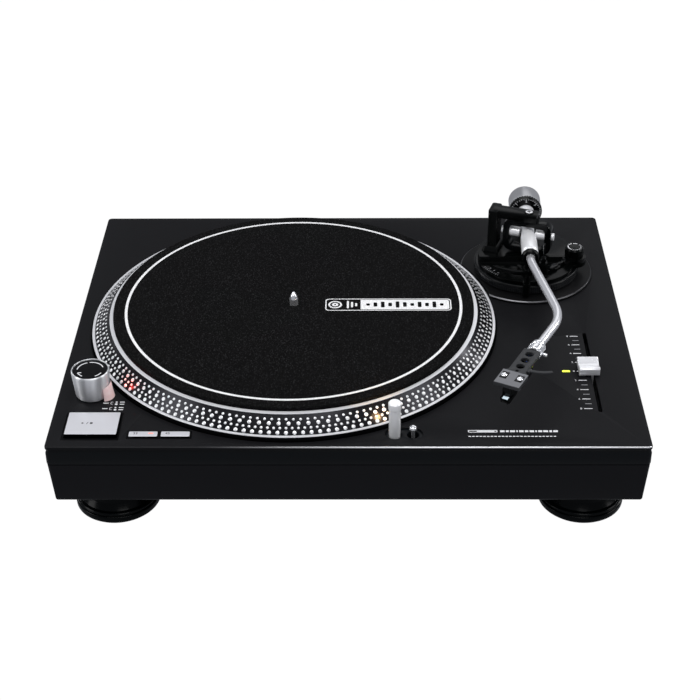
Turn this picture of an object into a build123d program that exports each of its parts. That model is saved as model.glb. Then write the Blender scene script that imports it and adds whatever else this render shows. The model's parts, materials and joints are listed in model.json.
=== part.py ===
from build123d import *
import os
from math import atan, atan2, cos, degrees, hypot, radians, sin

os.makedirs("parts", exist_ok=True)

# Direct-drive record player. X runs to the right, Y to the back, Z up from the floor.
# Lengths are in millimetres and angles in degrees.

# Case
case_width = 450.0
case_depth = 352.0
deck_top = 80.0
panel_thickness = 3.0
groove_height = 0.8
chassis_bottom = 64.0
web_bottom = 69.0
case_bottom = 26.6
case_floor = 4.0
case_wall = 5.0
case_step = 0.2
rear_step = 1.5
seam_depth = 0.8
seam_height = 0.9
case_taper = 4.6
corner_radius = 3.5
shoulder_height = 3.2
shoulder_setback = 1.2

# Feet
foot_x = 181.0
foot_y = 136.0
foot_radius = 33.0
boss_joint = 60.0
boss_radius = 6.5

# Platter and motor
platter_x = -46.0
platter_y = -2.5
well_radius = 167.5
well_floor = 74.0
platter_radius = 166.0
rim_land = 2.0
ledge_radius = 151.0
mat_radius = 148.0
mat_thickness = 3.0
platter_top = 94.4
rim_top = 84.4
spindle_radius = 3.6
shaft_radius = 5.0
spindle_tip = 108.8
spindle_relief = 0.2
motor_hole_radius = 62.0
stator_poles = 12

# Front left controls
knob_x = -198.4
knob_y = -107.0
knob_radius = 14.2
knob_height = 23.0
start_x = -192.5
start_y = -148.8
start_width = 39.0
start_depth = 29.0
speed_y = -160.45
speed_33_x = -153.05
speed_45_x = -128.95
speed_width = 21.5
speed_depth = 6.3
button_gap = 0.3

# Target light
light_x = 34.8
light_y = -159.0
light_radius = 5.1
light_top = 108.8
light_travel = 26.0
light_button_x = 48.4
socket_radius = 7.4

# Pitch fader
fader_x = 191.7
fader_y = -76.25
fader_slot_width = 3.0
fader_slot_length = 110.7

# Tonearm base
pivot_x = 152.5
pivot_y = 80.0
arm_height = 117.0
disc_radius = 57.0
disc_height = 2.5
sleeve_radius = 36.0
piston_radius = 31.0
ring_radius = 44.8
ring_height = 7.4
board_radius = 42.0
board_bottom = 90.5
board_top = 93.0
plateau_top = 98.0
plateau_front = 72.0
antiskate_x = 193.0
antiskate_y = 76.0
gimbal_heading = -18.9
running_gap = 0.05

# Tonearm
arm_heading = -91.8
first_bend = (151.0, 31.1)
second_bend = (167.0, -55.2)
tube_end = (145.0, -98.0)
bend_radii = [60.0, 48.0]
tube_radius = 4.0
barrel_radius = 7.0
shaft_end = 66.0
shell_heading = -117.0
shell_gap = 11.5
shell_length = 52.0
shell_front_width = 20.3
shell_rear_width = 13.4
shell_top = 121.0
shell_thickness = 2.8
tip_height = 100.0
weight_radius = 14.0

# Rear sockets
panel_x = 105.0
panel_width = 90.0
inlet_x = -144.0
inlet_width = 32.0
rear_window_bottom = 36.0
rear_window_height = 22.0
rear_face = 170.5


def save(builder, name):
    builder.part.label = name
    export_step(builder.part, f"parts/{name}.step")


def plane_at(x, y, z, heading=0.0):
    """A level plane at a point, with its own X axis turned to a heading."""
    x_dir = (cos(radians(heading)), sin(radians(heading)), 0)
    return Plane(origin=(x, y, z), x_dir=x_dir, z_dir=(0, 0, 1))


def end_plane(x, y, z, heading):
    """An upright plane that faces along a heading, with its own Y axis up."""
    direction = (cos(radians(heading)), sin(radians(heading)), 0)
    across = (-sin(radians(heading)), cos(radians(heading)), 0)
    return Plane(origin=(x, y, z), x_dir=across, z_dir=direction)


def along(start, heading, distance):
    """The point at a distance from a start point along a heading."""
    return (
        start[0] + distance * cos(radians(heading)),
        start[1] + distance * sin(radians(heading)),
    )


foot_centres = [(x, y) for x in (-foot_x, foot_x) for y in (-foot_y, foot_y)]
platter_centre = (platter_x, platter_y)
pivot = (pivot_x, pivot_y)
board_posts = [(-90.0, 70.0), (10.0, 70.0), (-90.0, 140.0), (10.0, 140.0)]
board_height = 40.0

# ---------------------------------------------------------------- case

start_frame_y = start_y - 0.9
start_frame_size = (43.0, 34.6)
speed_frame_x = (speed_33_x + speed_45_x) / 2
speed_frame_size = (48.8, 9.6)

with BuildPart() as top_panel:
    with BuildSketch(Plane.XY.offset(deck_top - panel_thickness)):
        RectangleRounded(case_width, case_depth, corner_radius)
    extrude(amount=panel_thickness)
    fillet(top_panel.faces().sort_by(Axis.Z)[-1].edges(), 1.1)
    with BuildSketch(Plane.XY.offset(deck_top)):
        with Locations(platter_centre):
            Circle(well_radius)
        with Locations((start_x, start_frame_y)):
            Rectangle(*start_frame_size)
        with Locations((speed_frame_x, speed_y)):
            Rectangle(*speed_frame_size)
        with Locations((knob_x, knob_y)):
            Circle(4.4)
        with Locations(((light_x + light_button_x) / 2, light_y)):
            SlotCenterToCenter(light_button_x - light_x, 2 * socket_radius)
        with Locations((fader_x, fader_y)):
            SlotOverall(fader_slot_length, fader_slot_width, rotation=90)
        with Locations(pivot):
            Circle(sleeve_radius + 0.3)
    extrude(amount=-panel_thickness, mode=Mode.SUBTRACT)
save(top_panel, "top_panel")

with BuildPart() as upper_chassis:
    shoulder_bottom = deck_top - panel_thickness - groove_height - shoulder_height
    with BuildSketch(Plane.XY.offset(chassis_bottom)):
        RectangleRounded(case_width, case_depth, corner_radius)
    extrude(amount=shoulder_bottom - chassis_bottom)
    with BuildSketch(Plane.XY.offset(shoulder_bottom)):
        RectangleRounded(case_width, case_depth, corner_radius)
    extrude(amount=shoulder_height, taper=degrees(atan(shoulder_setback / shoulder_height)))
    with BuildSketch(Plane.XY.offset(shoulder_bottom + shoulder_height)):
        RectangleRounded(case_width - 4, case_depth - 4, corner_radius - 1)
    extrude(amount=groove_height)
    # The underside is open inside a rim, and the web above it carries the parts.
    with BuildSketch(Plane.XY.offset(chassis_bottom)):
        RectangleRounded(case_width - 12, case_depth - 12, 2)
    extrude(amount=web_bottom - chassis_bottom, mode=Mode.SUBTRACT)
    with BuildSketch(Plane.XY.offset(well_floor)):
        with Locations(platter_centre):
            Circle(well_radius)
    extrude(amount=deck_top - well_floor, mode=Mode.SUBTRACT)
    with BuildSketch(Plane.XY.offset(web_bottom)):
        with Locations(platter_centre):
            Circle(motor_hole_radius)
        with Locations((start_x, start_frame_y)):
            Rectangle(*start_frame_size)
        with Locations((speed_frame_x, speed_y)):
            Rectangle(*speed_frame_size)
        with Locations((knob_x, knob_y)):
            Circle(4.4)
        with Locations(((light_x + light_button_x) / 2, light_y)):
            SlotCenterToCenter(light_button_x - light_x, 2 * socket_radius)
        with Locations((fader_x, fader_y)):
            SlotOverall(fader_slot_length + 2, fader_slot_width + 2, rotation=90)
        with Locations(pivot):
            Circle(sleeve_radius + 0.3)
    extrude(amount=deck_top - web_bottom, mode=Mode.SUBTRACT)
    # Bosses over the feet, and posts that hold the motor board.
    with BuildSketch(Plane.XY.offset(boss_joint)):
        with Locations(*foot_centres):
            Circle(boss_radius)
    extrude(amount=web_bottom - boss_joint)
    with BuildSketch(Plane.XY.offset(boss_joint)):
        with Locations(*foot_centres):
            Circle(2.55)
    extrude(amount=8, mode=Mode.SUBTRACT)
    with BuildSketch(Plane.XY.offset(52.6)):
        with Locations(platter_centre):
            with PolarLocations(72, 3, start_angle=30):
                Circle(4.5)
    extrude(amount=web_bottom - 52.6)
save(upper_chassis, "upper_chassis")

with BuildPart() as bottom_case:
    wall_height = chassis_bottom - case_bottom
    case_shift = (case_step - rear_step) / 2
    outer_width = case_width - 2 * case_step
    outer_depth = case_depth - case_step - rear_step
    with BuildSketch(Plane.XY.offset(chassis_bottom)):
        with Locations((0, case_shift)):
            RectangleRounded(outer_width, outer_depth, corner_radius)
    extrude(amount=-wall_height, taper=case_taper)
    fillet(bottom_case.faces().sort_by(Axis.Z)[0].edges(), 3.2)
    with BuildSketch(Plane.XY.offset(chassis_bottom)):
        with Locations((0, case_shift)):
            RectangleRounded(outer_width - 2 * case_wall, outer_depth - 2 * case_wall, 2.5)
    extrude(amount=-(wall_height - case_floor), taper=case_taper, mode=Mode.SUBTRACT)
    floor_top = case_bottom + case_floor
    with BuildSketch(Plane.XY.offset(floor_top)):
        with Locations(*foot_centres):
            Circle(boss_radius)
    extrude(amount=boss_joint - floor_top)
    with BuildSketch(Plane.XY.offset(floor_top)):
        with Locations(*board_posts):
            Circle(4)
    extrude(amount=board_height - floor_top)
    with BuildSketch(Plane.XY.offset(case_bottom)):
        with Locations(*foot_centres):
            Circle(2.8)
    extrude(amount=boss_joint - case_bottom, mode=Mode.SUBTRACT)
    # A seam runs round under the upper chassis.
    with BuildSketch(Plane.XY.offset(chassis_bottom)):
        with Locations((0, case_shift)):
            RectangleRounded(outer_width + 2, outer_depth + 2, corner_radius)
            RectangleRounded(
                outer_width - 2 * seam_depth,
                outer_depth - 2 * seam_depth,
                corner_radius - seam_depth,
                mode=Mode.SUBTRACT,
            )
    extrude(amount=-seam_height, mode=Mode.SUBTRACT)
    # Windows in the rear wall for the sockets.
    with BuildSketch(Plane.XY.offset(rear_window_bottom)):
        with Locations((panel_x, rear_face)):
            Rectangle(panel_width, 24)
        with Locations((inlet_x, rear_face)):
            Rectangle(inlet_width, 24)
    extrude(amount=rear_window_height, mode=Mode.SUBTRACT)
save(bottom_case, "bottom_case")

# Each foot is a wide rubber disc under a narrower neck, held by one long screw.
foot_names = {
    (-foot_x, -foot_y): "foot_front_left",
    (foot_x, -foot_y): "foot_front_right",
    (-foot_x, foot_y): "foot_rear_left",
    (foot_x, foot_y): "foot_rear_right",
}
for (x, y), name in foot_names.items():
    with BuildPart() as foot:
        with BuildSketch(Plane(origin=(x, y, 0), x_dir=(1, 0, 0), z_dir=(0, -1, 0))):
            with BuildLine():
                Polyline(
                    (3, 14),
                    (7, 14),
                    (7, 0),
                    (foot_radius - 3, 0),
                    (foot_radius, 3),
                    (foot_radius, 8.5),
                    (foot_radius - 1.2, 10),
                    (foot_radius - 3.5, 10),
                    (foot_radius - 7, 17),
                    (foot_radius - 5, case_bottom),
                    (3, case_bottom),
                    close=True,
                )
            make_face()
        revolve(axis=Axis((x, y, 0), (0, 0, 1)))
    save(foot, name)

with BuildPart() as foot_screws:
    with BuildSketch(Plane.XY.offset(10)):
        with Locations(*foot_centres):
            Circle(5.5)
            RegularPolygon(2.4, 6, mode=Mode.SUBTRACT)
    extrude(amount=4)
    with BuildSketch(Plane.XY.offset(12.5)):
        with Locations(*foot_centres):
            Circle(2.5)
    extrude(amount=53)
save(foot_screws, "foot_screws")

# ---------------------------------------------------------------- motor

with BuildPart() as motor_board:
    with BuildSketch(Plane.XY.offset(51)):
        with Locations(platter_centre):
            Circle(78)
            Circle(12.2, mode=Mode.SUBTRACT)
    extrude(amount=1.6)
    with BuildSketch(Plane.XY.offset(52.6)):
        with Locations(platter_centre):
            with PolarLocations(60, 3, start_angle=90):
                Rectangle(8, 14)
    extrude(amount=3)
save(motor_board, "motor_board")

with BuildPart() as bearing_housing:
    with BuildSketch(Plane.XY.offset(34)):
        with Locations(platter_centre):
            Circle(12)
    extrude(amount=41)
    with BuildSketch(Plane.XY.offset(47)):
        with Locations(platter_centre):
            Circle(24)
    extrude(amount=4)
    with BuildSketch(Plane.XY.offset(37.5)):
        with Locations(platter_centre):
            Circle(shaft_radius + running_gap)
    extrude(amount=40, mode=Mode.SUBTRACT)
save(bearing_housing, "bearing_housing")

with BuildPart() as motor_stator:
    with BuildSketch(Plane.XY.offset(60)):
        with Locations(platter_centre):
            Circle(22)
            with PolarLocations(31, stator_poles):
                Rectangle(22, 6)
            with PolarLocations(40.5, stator_poles):
                Rectangle(4, 17)
            Circle(12.2, mode=Mode.SUBTRACT)
    extrude(amount=10)
    # Spacer ring that stands the stack on the motor board.
    with BuildSketch(Plane.XY.offset(52.6)):
        with Locations(platter_centre):
            Circle(18)
            Circle(12.2, mode=Mode.SUBTRACT)
    extrude(amount=7.4)
save(motor_stator, "motor_stator")

with BuildPart() as motor_coils:
    with BuildSketch(Plane.XY.offset(57)):
        with Locations(platter_centre):
            with PolarLocations(31, stator_poles):
                Rectangle(12, 10)
    extrude(amount=16)
    with BuildSketch(Plane.XY.offset(59.8)):
        with Locations(platter_centre):
            with PolarLocations(31, stator_poles):
                Rectangle(14, 6.4)
    extrude(amount=10.4, mode=Mode.SUBTRACT)
save(motor_coils, "motor_coils")

with BuildPart() as rotor_cup:
    with BuildSketch(Plane.XY.offset(78.4)):
        with Locations(platter_centre):
            Circle(58)
    extrude(amount=2)
    with BuildSketch(Plane.XY.offset(59)):
        with Locations(platter_centre):
            Circle(58)
            Circle(55, mode=Mode.SUBTRACT)
    extrude(amount=19.4)
    with BuildSketch(Plane.XY.offset(76)):
        with Locations(platter_centre):
            Circle(10)
    extrude(amount=2.4)
    with BuildSketch(Plane.XY.offset(59)):
        with Locations(platter_centre):
            Circle(shaft_radius + running_gap)
    extrude(amount=24, mode=Mode.SUBTRACT)
save(rotor_cup, "rotor_cup")

with BuildPart() as rotor_magnet:
    with BuildSketch(Plane.XY.offset(59.5)):
        with Locations(platter_centre):
            Circle(55)
            Circle(47, mode=Mode.SUBTRACT)
    extrude(amount=13)
save(rotor_magnet, "rotor_magnet")

platter_axis = Axis((platter_x, platter_y, 0), (0, 0, 1))
platter_section = Plane(origin=(platter_x, platter_y, 0), x_dir=(1, 0, 0), z_dir=(0, -1, 0))

with BuildPart() as spindle:
    with BuildSketch(platter_section):
        with BuildLine():
            Polyline(
                (0, 37.5),
                (shaft_radius - 1.5, 37.5),
                (shaft_radius, 39),
                (shaft_radius, 88),
                (spindle_radius, 89.4),
                (spindle_radius, platter_top),
                (spindle_radius - spindle_relief, platter_top),
                (spindle_radius - spindle_relief, platter_top + mat_thickness + running_gap),
                (spindle_radius, platter_top + mat_thickness + running_gap),
                (spindle_radius, spindle_tip - 4.5),
                (spindle_radius - 0.8, spindle_tip - 2.5),
                (1.4, spindle_tip - 0.6),
                (0, spindle_tip),
                close=True,
            )
        make_face()
    revolve(axis=platter_axis)
save(spindle, "spindle")

with BuildPart() as platter:
    with BuildSketch(platter_section):
        with BuildLine():
            Polyline(
                (shaft_radius + running_gap, 80.4),
                (30, 80.4),
                (34, 88.4),
                (145, 90.4),
                (150, 88.4),
                (159.5, 80.4),
                (160.5, 77),
                (platter_radius - 0.6, 77),
                (platter_radius, 77.6),
                (platter_radius, rim_top - 0.5),
                (platter_radius - 0.5, rim_top),
                (platter_radius - rim_land, rim_top),
                (ledge_radius, platter_top),
                (spindle_radius + running_gap, platter_top),
                (spindle_radius + running_gap, 89.4),
                (shaft_radius + running_gap, 88),
                close=True,
            )
        make_face()
    revolve(axis=platter_axis)
    # Two thumb holes for lifting the platter, under the mat.
    with BuildSketch(Plane.XY.offset(platter_top)):
        with Locations(platter_centre):
            with PolarLocations(85, 2):
                Circle(10)
    extrude(amount=-16, mode=Mode.SUBTRACT)
save(platter, "platter")

with BuildPart() as slipmat:
    with BuildSketch(Plane.XY.offset(platter_top)):
        with Locations(platter_centre):
            Circle(mat_radius)
            Circle(spindle_radius + 0.3, mode=Mode.SUBTRACT)
    extrude(amount=mat_thickness)
    fillet(slipmat.faces().sort_by(Axis.Z)[-1].edges().sort_by(SortBy.LENGTH)[-1], 0.9)
save(slipmat, "slipmat")

# ---------------------------------------------------------------- electronics

with BuildPart() as main_board:
    board_x = sum(x for x, y in board_posts) / 4
    board_y = sum(y for x, y in board_posts) / 4
    with BuildSketch(Plane.XY.offset(board_height)):
        with Locations((board_x, board_y)):
            Rectangle(112, 82)
    extrude(amount=1.6)
    with BuildSketch(Plane.XY.offset(board_height + 1.6)):
        with Locations((board_x - 30, board_y + 10), (board_x + 12, board_y - 12)):
            Rectangle(16, 16)
        with Locations((board_x + 38, board_y + 20)):
            Rectangle(22, 12)
    extrude(amount=3)
    with BuildSketch(Plane.XY.offset(board_height + 1.6)):
        with Locations((board_x - 8, board_y + 26)):
            with GridLocations(16, 1, 3, 1):
                Circle(5)
    extrude(amount=14)
save(main_board, "main_board")

with BuildPart() as power_transformer:
    with BuildSketch(Plane.XY.offset(case_bottom + case_floor)):
        with Locations((-152, 92)):
            Rectangle(58, 26)
    extrude(amount=34)
    with BuildSketch(Plane.XY.offset(case_bottom + case_floor + 7)):
        with Locations((-152, 92)):
            RectangleRounded(38, 46, 5)
    extrude(amount=20)
save(power_transformer, "power_transformer")

with BuildPart() as terminal_panel:
    with BuildSketch(Plane.XY.offset(rear_window_bottom)):
        with Locations((panel_x, rear_face - 6.25)):
            Rectangle(panel_width, 12.5)
    extrude(amount=rear_window_height)
    with BuildSketch(Plane.XY.offset(rear_window_bottom + 2)):
        with Locations((panel_x, rear_face - 4.25)):
            Rectangle(panel_width - 4, 12.5)
    extrude(amount=rear_window_height - 4, mode=Mode.SUBTRACT)
    panel_face = rear_face - 10.5
    with BuildSketch(Plane(origin=(panel_x + 28, panel_face, 47), x_dir=(1, 0, 0), z_dir=(0, -1, 0))):
        Rectangle(12, 3.6)
    extrude(amount=4, both=True, mode=Mode.SUBTRACT)
save(terminal_panel, "terminal_panel")

# Two signal sockets and the earth post stand on the recessed panel.
with BuildPart() as rca_jacks:
    jack_centres = [(panel_x - 16, 47), (panel_x + 4, 47)]
    back_plane = Plane(origin=(0, panel_face, 0), x_dir=(-1, 0, 0), z_dir=(0, 1, 0))
    with BuildSketch(back_plane):
        with Locations(*[(-x, z) for x, z in jack_centres]):
            Circle(6)
    extrude(amount=1.6)
    with BuildSketch(back_plane):
        with Locations(*[(-x, z) for x, z in jack_centres]):
            Circle(4.15)
        with Locations((-(panel_x - 34), 47)):
            Circle(4.2)
    extrude(amount=9.5)
    with BuildSketch(back_plane.offset(9.5)):
        with Locations(*[(-x, z) for x, z in jack_centres]):
            Circle(1.6)
    extrude(amount=-8, mode=Mode.SUBTRACT)
save(rca_jacks, "rca_jacks")

with BuildPart() as line_switch:
    with BuildSketch(back_plane.offset(-1.6)):
        with Locations((-(panel_x + 28), 47)):
            Rectangle(5, 3.2)
    extrude(amount=6.5)
save(line_switch, "line_switch")

with BuildPart() as power_inlet:
    with BuildSketch(Plane.XY.offset(rear_window_bottom)):
        with Locations((inlet_x, rear_face - 11)):
            Rectangle(inlet_width, 22)
    extrude(amount=rear_window_height)
    with BuildSketch(Plane(origin=(inlet_x, rear_face, 47), x_dir=(-1, 0, 0), z_dir=(0, 1, 0))):
        Rectangle(25, 17)
    extrude(amount=-16.5, mode=Mode.SUBTRACT)
    inlet_floor = rear_face - 16.5
    with BuildSketch(Plane(origin=(inlet_x, inlet_floor, 47), x_dir=(-1, 0, 0), z_dir=(0, 1, 0))):
        with Locations((-7, -2), (7, -2)):
            Rectangle(2, 4)
        with Locations((0, 3)):
            Rectangle(2, 4)
    extrude(amount=11)
save(power_inlet, "power_inlet")

# ---------------------------------------------------------------- front left controls

with BuildPart() as power_knob:
    with BuildSketch(Plane.XY.offset(deck_top + 0.4)):
        with Locations((knob_x, knob_y)):
            Circle(knob_radius - 1.2)
    extrude(amount=knob_height - 1.5, taper=-3.2)
    with BuildSketch(Plane.XY.offset(deck_top + knob_height - 1.1)):
        with Locations((knob_x, knob_y)):
            Circle(knob_radius)
    extrude(amount=1.5)
    fillet(power_knob.faces().sort_by(Axis.Z)[-1].edges(), 0.8)
    with BuildSketch(Plane.XY.offset(deck_top + knob_height + 0.4)):
        with Locations((knob_x, knob_y)):
            Circle(knob_radius - 1.6)
    extrude(amount=-1.6, mode=Mode.SUBTRACT)
    with BuildSketch(Plane.XY.offset(66)):
        with Locations((knob_x, knob_y)):
            Circle(4.33)
    extrude(amount=deck_top + 0.4 - 66)
save(power_knob, "power_knob")

# The strobe lamp hugs the knob on the platter's side.
with BuildPart() as strobe_lamp:
    with BuildSketch(Plane.XY.offset(deck_top)):
        with Locations((-189.0, -109.6)):
            Circle(8)
        with Locations((knob_x, knob_y)):
            Circle(knob_radius + 0.6, mode=Mode.SUBTRACT)
    extrude(amount=17)
    fillet(strobe_lamp.faces().sort_by(Axis.Z)[-1].edges().sort_by(SortBy.LENGTH)[-1], 2)
save(strobe_lamp, "strobe_lamp")

with BuildPart() as start_button_frame:
    with BuildSketch(Plane.XY.offset(70)):
        with Locations((start_x, start_frame_y)):
            Rectangle(*start_frame_size)
    extrude(amount=9.6)
    with BuildSketch(Plane.XY.offset(72)):
        with Locations((start_x, start_y)):
            Rectangle(start_width + 2 * button_gap, start_depth + 2 * button_gap)
    extrude(amount=8, mode=Mode.SUBTRACT)
    with BuildSketch(Plane.XY.offset(70)):
        with Locations((start_x, start_y)):
            Circle(4.4)
    extrude(amount=2, mode=Mode.SUBTRACT)
save(start_button_frame, "start_button_frame")

with BuildPart() as start_stop_button:
    with BuildSketch(Plane.XY.offset(76)):
        with Locations((start_x, start_y)):
            RectangleRounded(start_width, start_depth, 1.2)
    extrude(amount=6)
    fillet(start_stop_button.faces().sort_by(Axis.Z)[-1].edges(), 0.7)
    with BuildSketch(Plane.XY.offset(66)):
        with Locations((start_x, start_y)):
            Circle(4)
    extrude(amount=10)
save(start_stop_button, "start_stop_button")

with BuildPart() as speed_button_frame:
    with BuildSketch(Plane.XY.offset(70)):
        with Locations((speed_frame_x, speed_y)):
            Rectangle(*speed_frame_size)
    extrude(amount=10)
    with BuildSketch(Plane.XY.offset(72)):
        with Locations((speed_33_x, speed_y), (speed_45_x, speed_y)):
            Rectangle(speed_width + 2 * button_gap, speed_depth + 2 * button_gap)
    extrude(amount=8, mode=Mode.SUBTRACT)
    with BuildSketch(Plane.XY.offset(70)):
        with Locations((speed_33_x, speed_y), (speed_45_x, speed_y)):
            Circle(2.4)
    extrude(amount=2, mode=Mode.SUBTRACT)
save(speed_button_frame, "speed_button_frame")

for button_x, name in ((speed_33_x, "speed_button_33"), (speed_45_x, "speed_button_45")):
    with BuildPart() as speed_button:
        with BuildSketch(Plane.XY.offset(75)):
            with Locations((button_x, speed_y)):
                RectangleRounded(speed_width, speed_depth, 0.8)
        extrude(amount=6)
        fillet(speed_button.faces().sort_by(Axis.Z)[-1].edges(), 0.5)
        with BuildSketch(Plane.XY.offset(66)):
            with Locations((button_x, speed_y)):
                Circle(2)
        extrude(amount=9)
    save(speed_button, name)

# ---------------------------------------------------------------- target light

socket_top = deck_top - 1.2
with BuildPart() as light_socket:
    with BuildSketch(Plane.XY.offset(74)):
        with Locations(((light_x + light_button_x) / 2, light_y)):
            SlotCenterToCenter(light_button_x - light_x, 2 * socket_radius)
    extrude(amount=socket_top - 74)
    with BuildSketch(Plane.XY.offset(34.5)):
        with Locations((light_x, light_y)):
            Circle(7)
        with Locations((light_button_x, light_y)):
            Circle(6)
    extrude(amount=39.5)
    with BuildSketch(Plane.XY.offset(34.5)):
        with Locations((light_x, light_y)):
            Circle(light_radius + 0.08)
    extrude(amount=46, mode=Mode.SUBTRACT)
    with BuildSketch(Plane.XY.offset(socket_top)):
        with Locations((light_button_x, light_y)):
            Circle(4.6)
    extrude(amount=-18, mode=Mode.SUBTRACT)
save(light_socket, "light_socket")

platter_direction = degrees(atan2(platter_y - light_y, platter_x - light_x))
with BuildPart() as target_light_tube:
    with BuildSketch(Plane.XY.offset(light_top - 46)):
        with Locations((light_x, light_y)):
            Circle(light_radius)
    extrude(amount=46)
    fillet(target_light_tube.faces().sort_by(Axis.Z)[-1].edges(), 1.6)
    # The lamp shines out of a slot that faces the platter.
    with BuildSketch(plane_at(light_x, light_y, light_top - 12, platter_direction)):
        with Locations((light_radius, 0)):
            Rectangle(5, 5)
    extrude(amount=8, mode=Mode.SUBTRACT)
save(target_light_tube, "target_light_tube")

with BuildPart() as light_button:
    with BuildSketch(Plane.XY.offset(65)):
        with Locations((light_button_x, light_y)):
            Circle(2)
    extrude(amount=18)
    with BuildSketch(Plane.XY.offset(82.6)):
        with Locations((light_button_x, light_y)):
            Circle(2.4)
    extrude(amount=2, taper=-16)
    with BuildSketch(Plane.XY.offset(84.6)):
        with Locations((light_button_x, light_y)):
            Circle(3)
    extrude(amount=2.2)
    fillet(light_button.faces().sort_by(Axis.Z)[-1].edges(), 0.9)
save(light_button, "light_button")

# ---------------------------------------------------------------- pitch fader

with BuildPart() as pitch_fader_body:
    with BuildSketch(Plane.XY.offset(web_bottom - 14)):
        with Locations((fader_x + 0.5, fader_y)):
            Rectangle(8, fader_slot_length + 13)
    extrude(amount=14)
    with BuildSketch(Plane.XY.offset(web_bottom)):
        with Locations((fader_x, fader_y)):
            Rectangle(4, fader_slot_length + 4)
    extrude(amount=-11, mode=Mode.SUBTRACT)
save(pitch_fader_body, "pitch_fader_body")

with BuildPart() as fader_cap:
    with BuildSketch(Plane.XY.offset(60)):
        with Locations((fader_x, fader_y)):
            Rectangle(2, 6)
    extrude(amount=22)
    # The cap is dished along the slot, with a ridge at each end.
    with BuildSketch(Plane(origin=(fader_x - 11.3, fader_y, 0), x_dir=(0, 1, 0), z_dir=(1, 0, 0))):
        with BuildLine():
            Line((-8.9, 81.5), (8.9, 81.5))
            Line((8.9, 81.5), (8.2, 88.4))
            Line((8.2, 88.4), (6.2, 88.4))
            ThreePointArc((6.2, 88.4), (0, 86.2), (-6.2, 88.4))
            Line((-6.2, 88.4), (-8.2, 88.4))
            Line((-8.2, 88.4), (-8.9, 81.5))
        make_face()
    extrude(amount=16.3)
save(fader_cap, "fader_cap")

# ---------------------------------------------------------------- tonearm base

with BuildPart() as tonearm_disc:
    with BuildSketch(Plane.XY.offset(deck_top)):
        with Locations(pivot):
            Circle(disc_radius)
    extrude(amount=disc_height)
    chamfer(tonearm_disc.faces().sort_by(Axis.Z)[-1].edges(), 1)
    # The disc stops at the edge of the platter's well.
    with BuildSketch(Plane.XY.offset(deck_top)):
        with Locations(pivot):
            Circle(sleeve_radius + 0.3)
        with Locations(platter_centre):
            Circle(well_radius + 0.6)
    extrude(amount=disc_height + 1, mode=Mode.SUBTRACT)
save(tonearm_disc, "tonearm_disc")

with BuildPart() as tonearm_sleeve:
    with BuildSketch(Plane.XY.offset(62)):
        with Locations(pivot):
            Circle(sleeve_radius)
    extrude(amount=28)
    with BuildSketch(Plane.XY.offset(web_bottom - 4)):
        with Locations(pivot):
            Circle(44)
    extrude(amount=4)
    with BuildSketch(Plane.XY.offset(62)):
        with Locations(pivot):
            Circle(piston_radius + running_gap)
    extrude(amount=28, mode=Mode.SUBTRACT)
save(tonearm_sleeve, "tonearm_sleeve")

with BuildPart() as height_ring:
    with BuildSketch(Plane.XY.offset(deck_top + disc_height + 0.3)):
        with Locations(pivot):
            Circle(ring_radius)
    extrude(amount=ring_height)
    chamfer(height_ring.faces().sort_by(Axis.Z)[-1].edges(), 0.8)
    with BuildSketch(Plane.XY.offset(deck_top + disc_height + 0.3)):
        with Locations(pivot):
            Circle(sleeve_radius + 0.08)
    extrude(amount=ring_height, mode=Mode.SUBTRACT)
save(height_ring, "height_ring")

lift_distance = 48.4
lift_centre = along(pivot, arm_heading - 3, lift_distance)
with BuildPart() as arm_board:
    with BuildSketch(Plane.XY.offset(64)):
        with Locations(pivot):
            Circle(piston_radius)
            Circle(piston_radius - 5, mode=Mode.SUBTRACT)
    extrude(amount=board_bottom - 64)
    with BuildSketch(Plane.XY.offset(board_bottom)):
        with Locations(pivot):
            Circle(board_radius)
        with Locations((antiskate_x, antiskate_y)):
            Circle(10.5)
        with Locations(lift_centre):
            Circle(3.2)
        with Locations(along(pivot, arm_heading - 3, 42)):
            Rectangle(6.4, 9)
    extrude(amount=board_top - board_bottom)
    # A raised plateau behind a straight front edge reaches over to the anti-skate dial.
    with BuildSketch(Plane.XY.offset(board_top)):
        with Locations(pivot):
            Circle(board_radius)
        with Locations((antiskate_x, antiskate_y)):
            Circle(10.5)
        with Locations(((pivot_x + antiskate_x) / 2, 79)):
            Rectangle(antiskate_x - pivot_x, 14)
        with Locations((pivot_x, plateau_front - 50)):
            Rectangle(2 * board_radius + 1, 100, mode=Mode.SUBTRACT)
        with Locations((pivot_x, pivot_y + 83)):
            Rectangle(2 * board_radius + 20, 100, mode=Mode.SUBTRACT)
    extrude(amount=plateau_top - board_top)
    # Lower pivot stub for the gimbal, and the guide tube of the arm lift.
    with BuildSketch(Plane.XY.offset(plateau_top)):
        with Locations(pivot):
            Circle(3)
    extrude(amount=5)
    with BuildSketch(Plane.XY.offset(84)):
        with Locations(lift_centre):
            Circle(3.2)
    extrude(amount=12)
    with BuildSketch(Plane.XY.offset(84)):
        with Locations(lift_centre):
            Circle(2 + running_gap)
    extrude(amount=12, mode=Mode.SUBTRACT)
save(arm_board, "arm_board")

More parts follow.
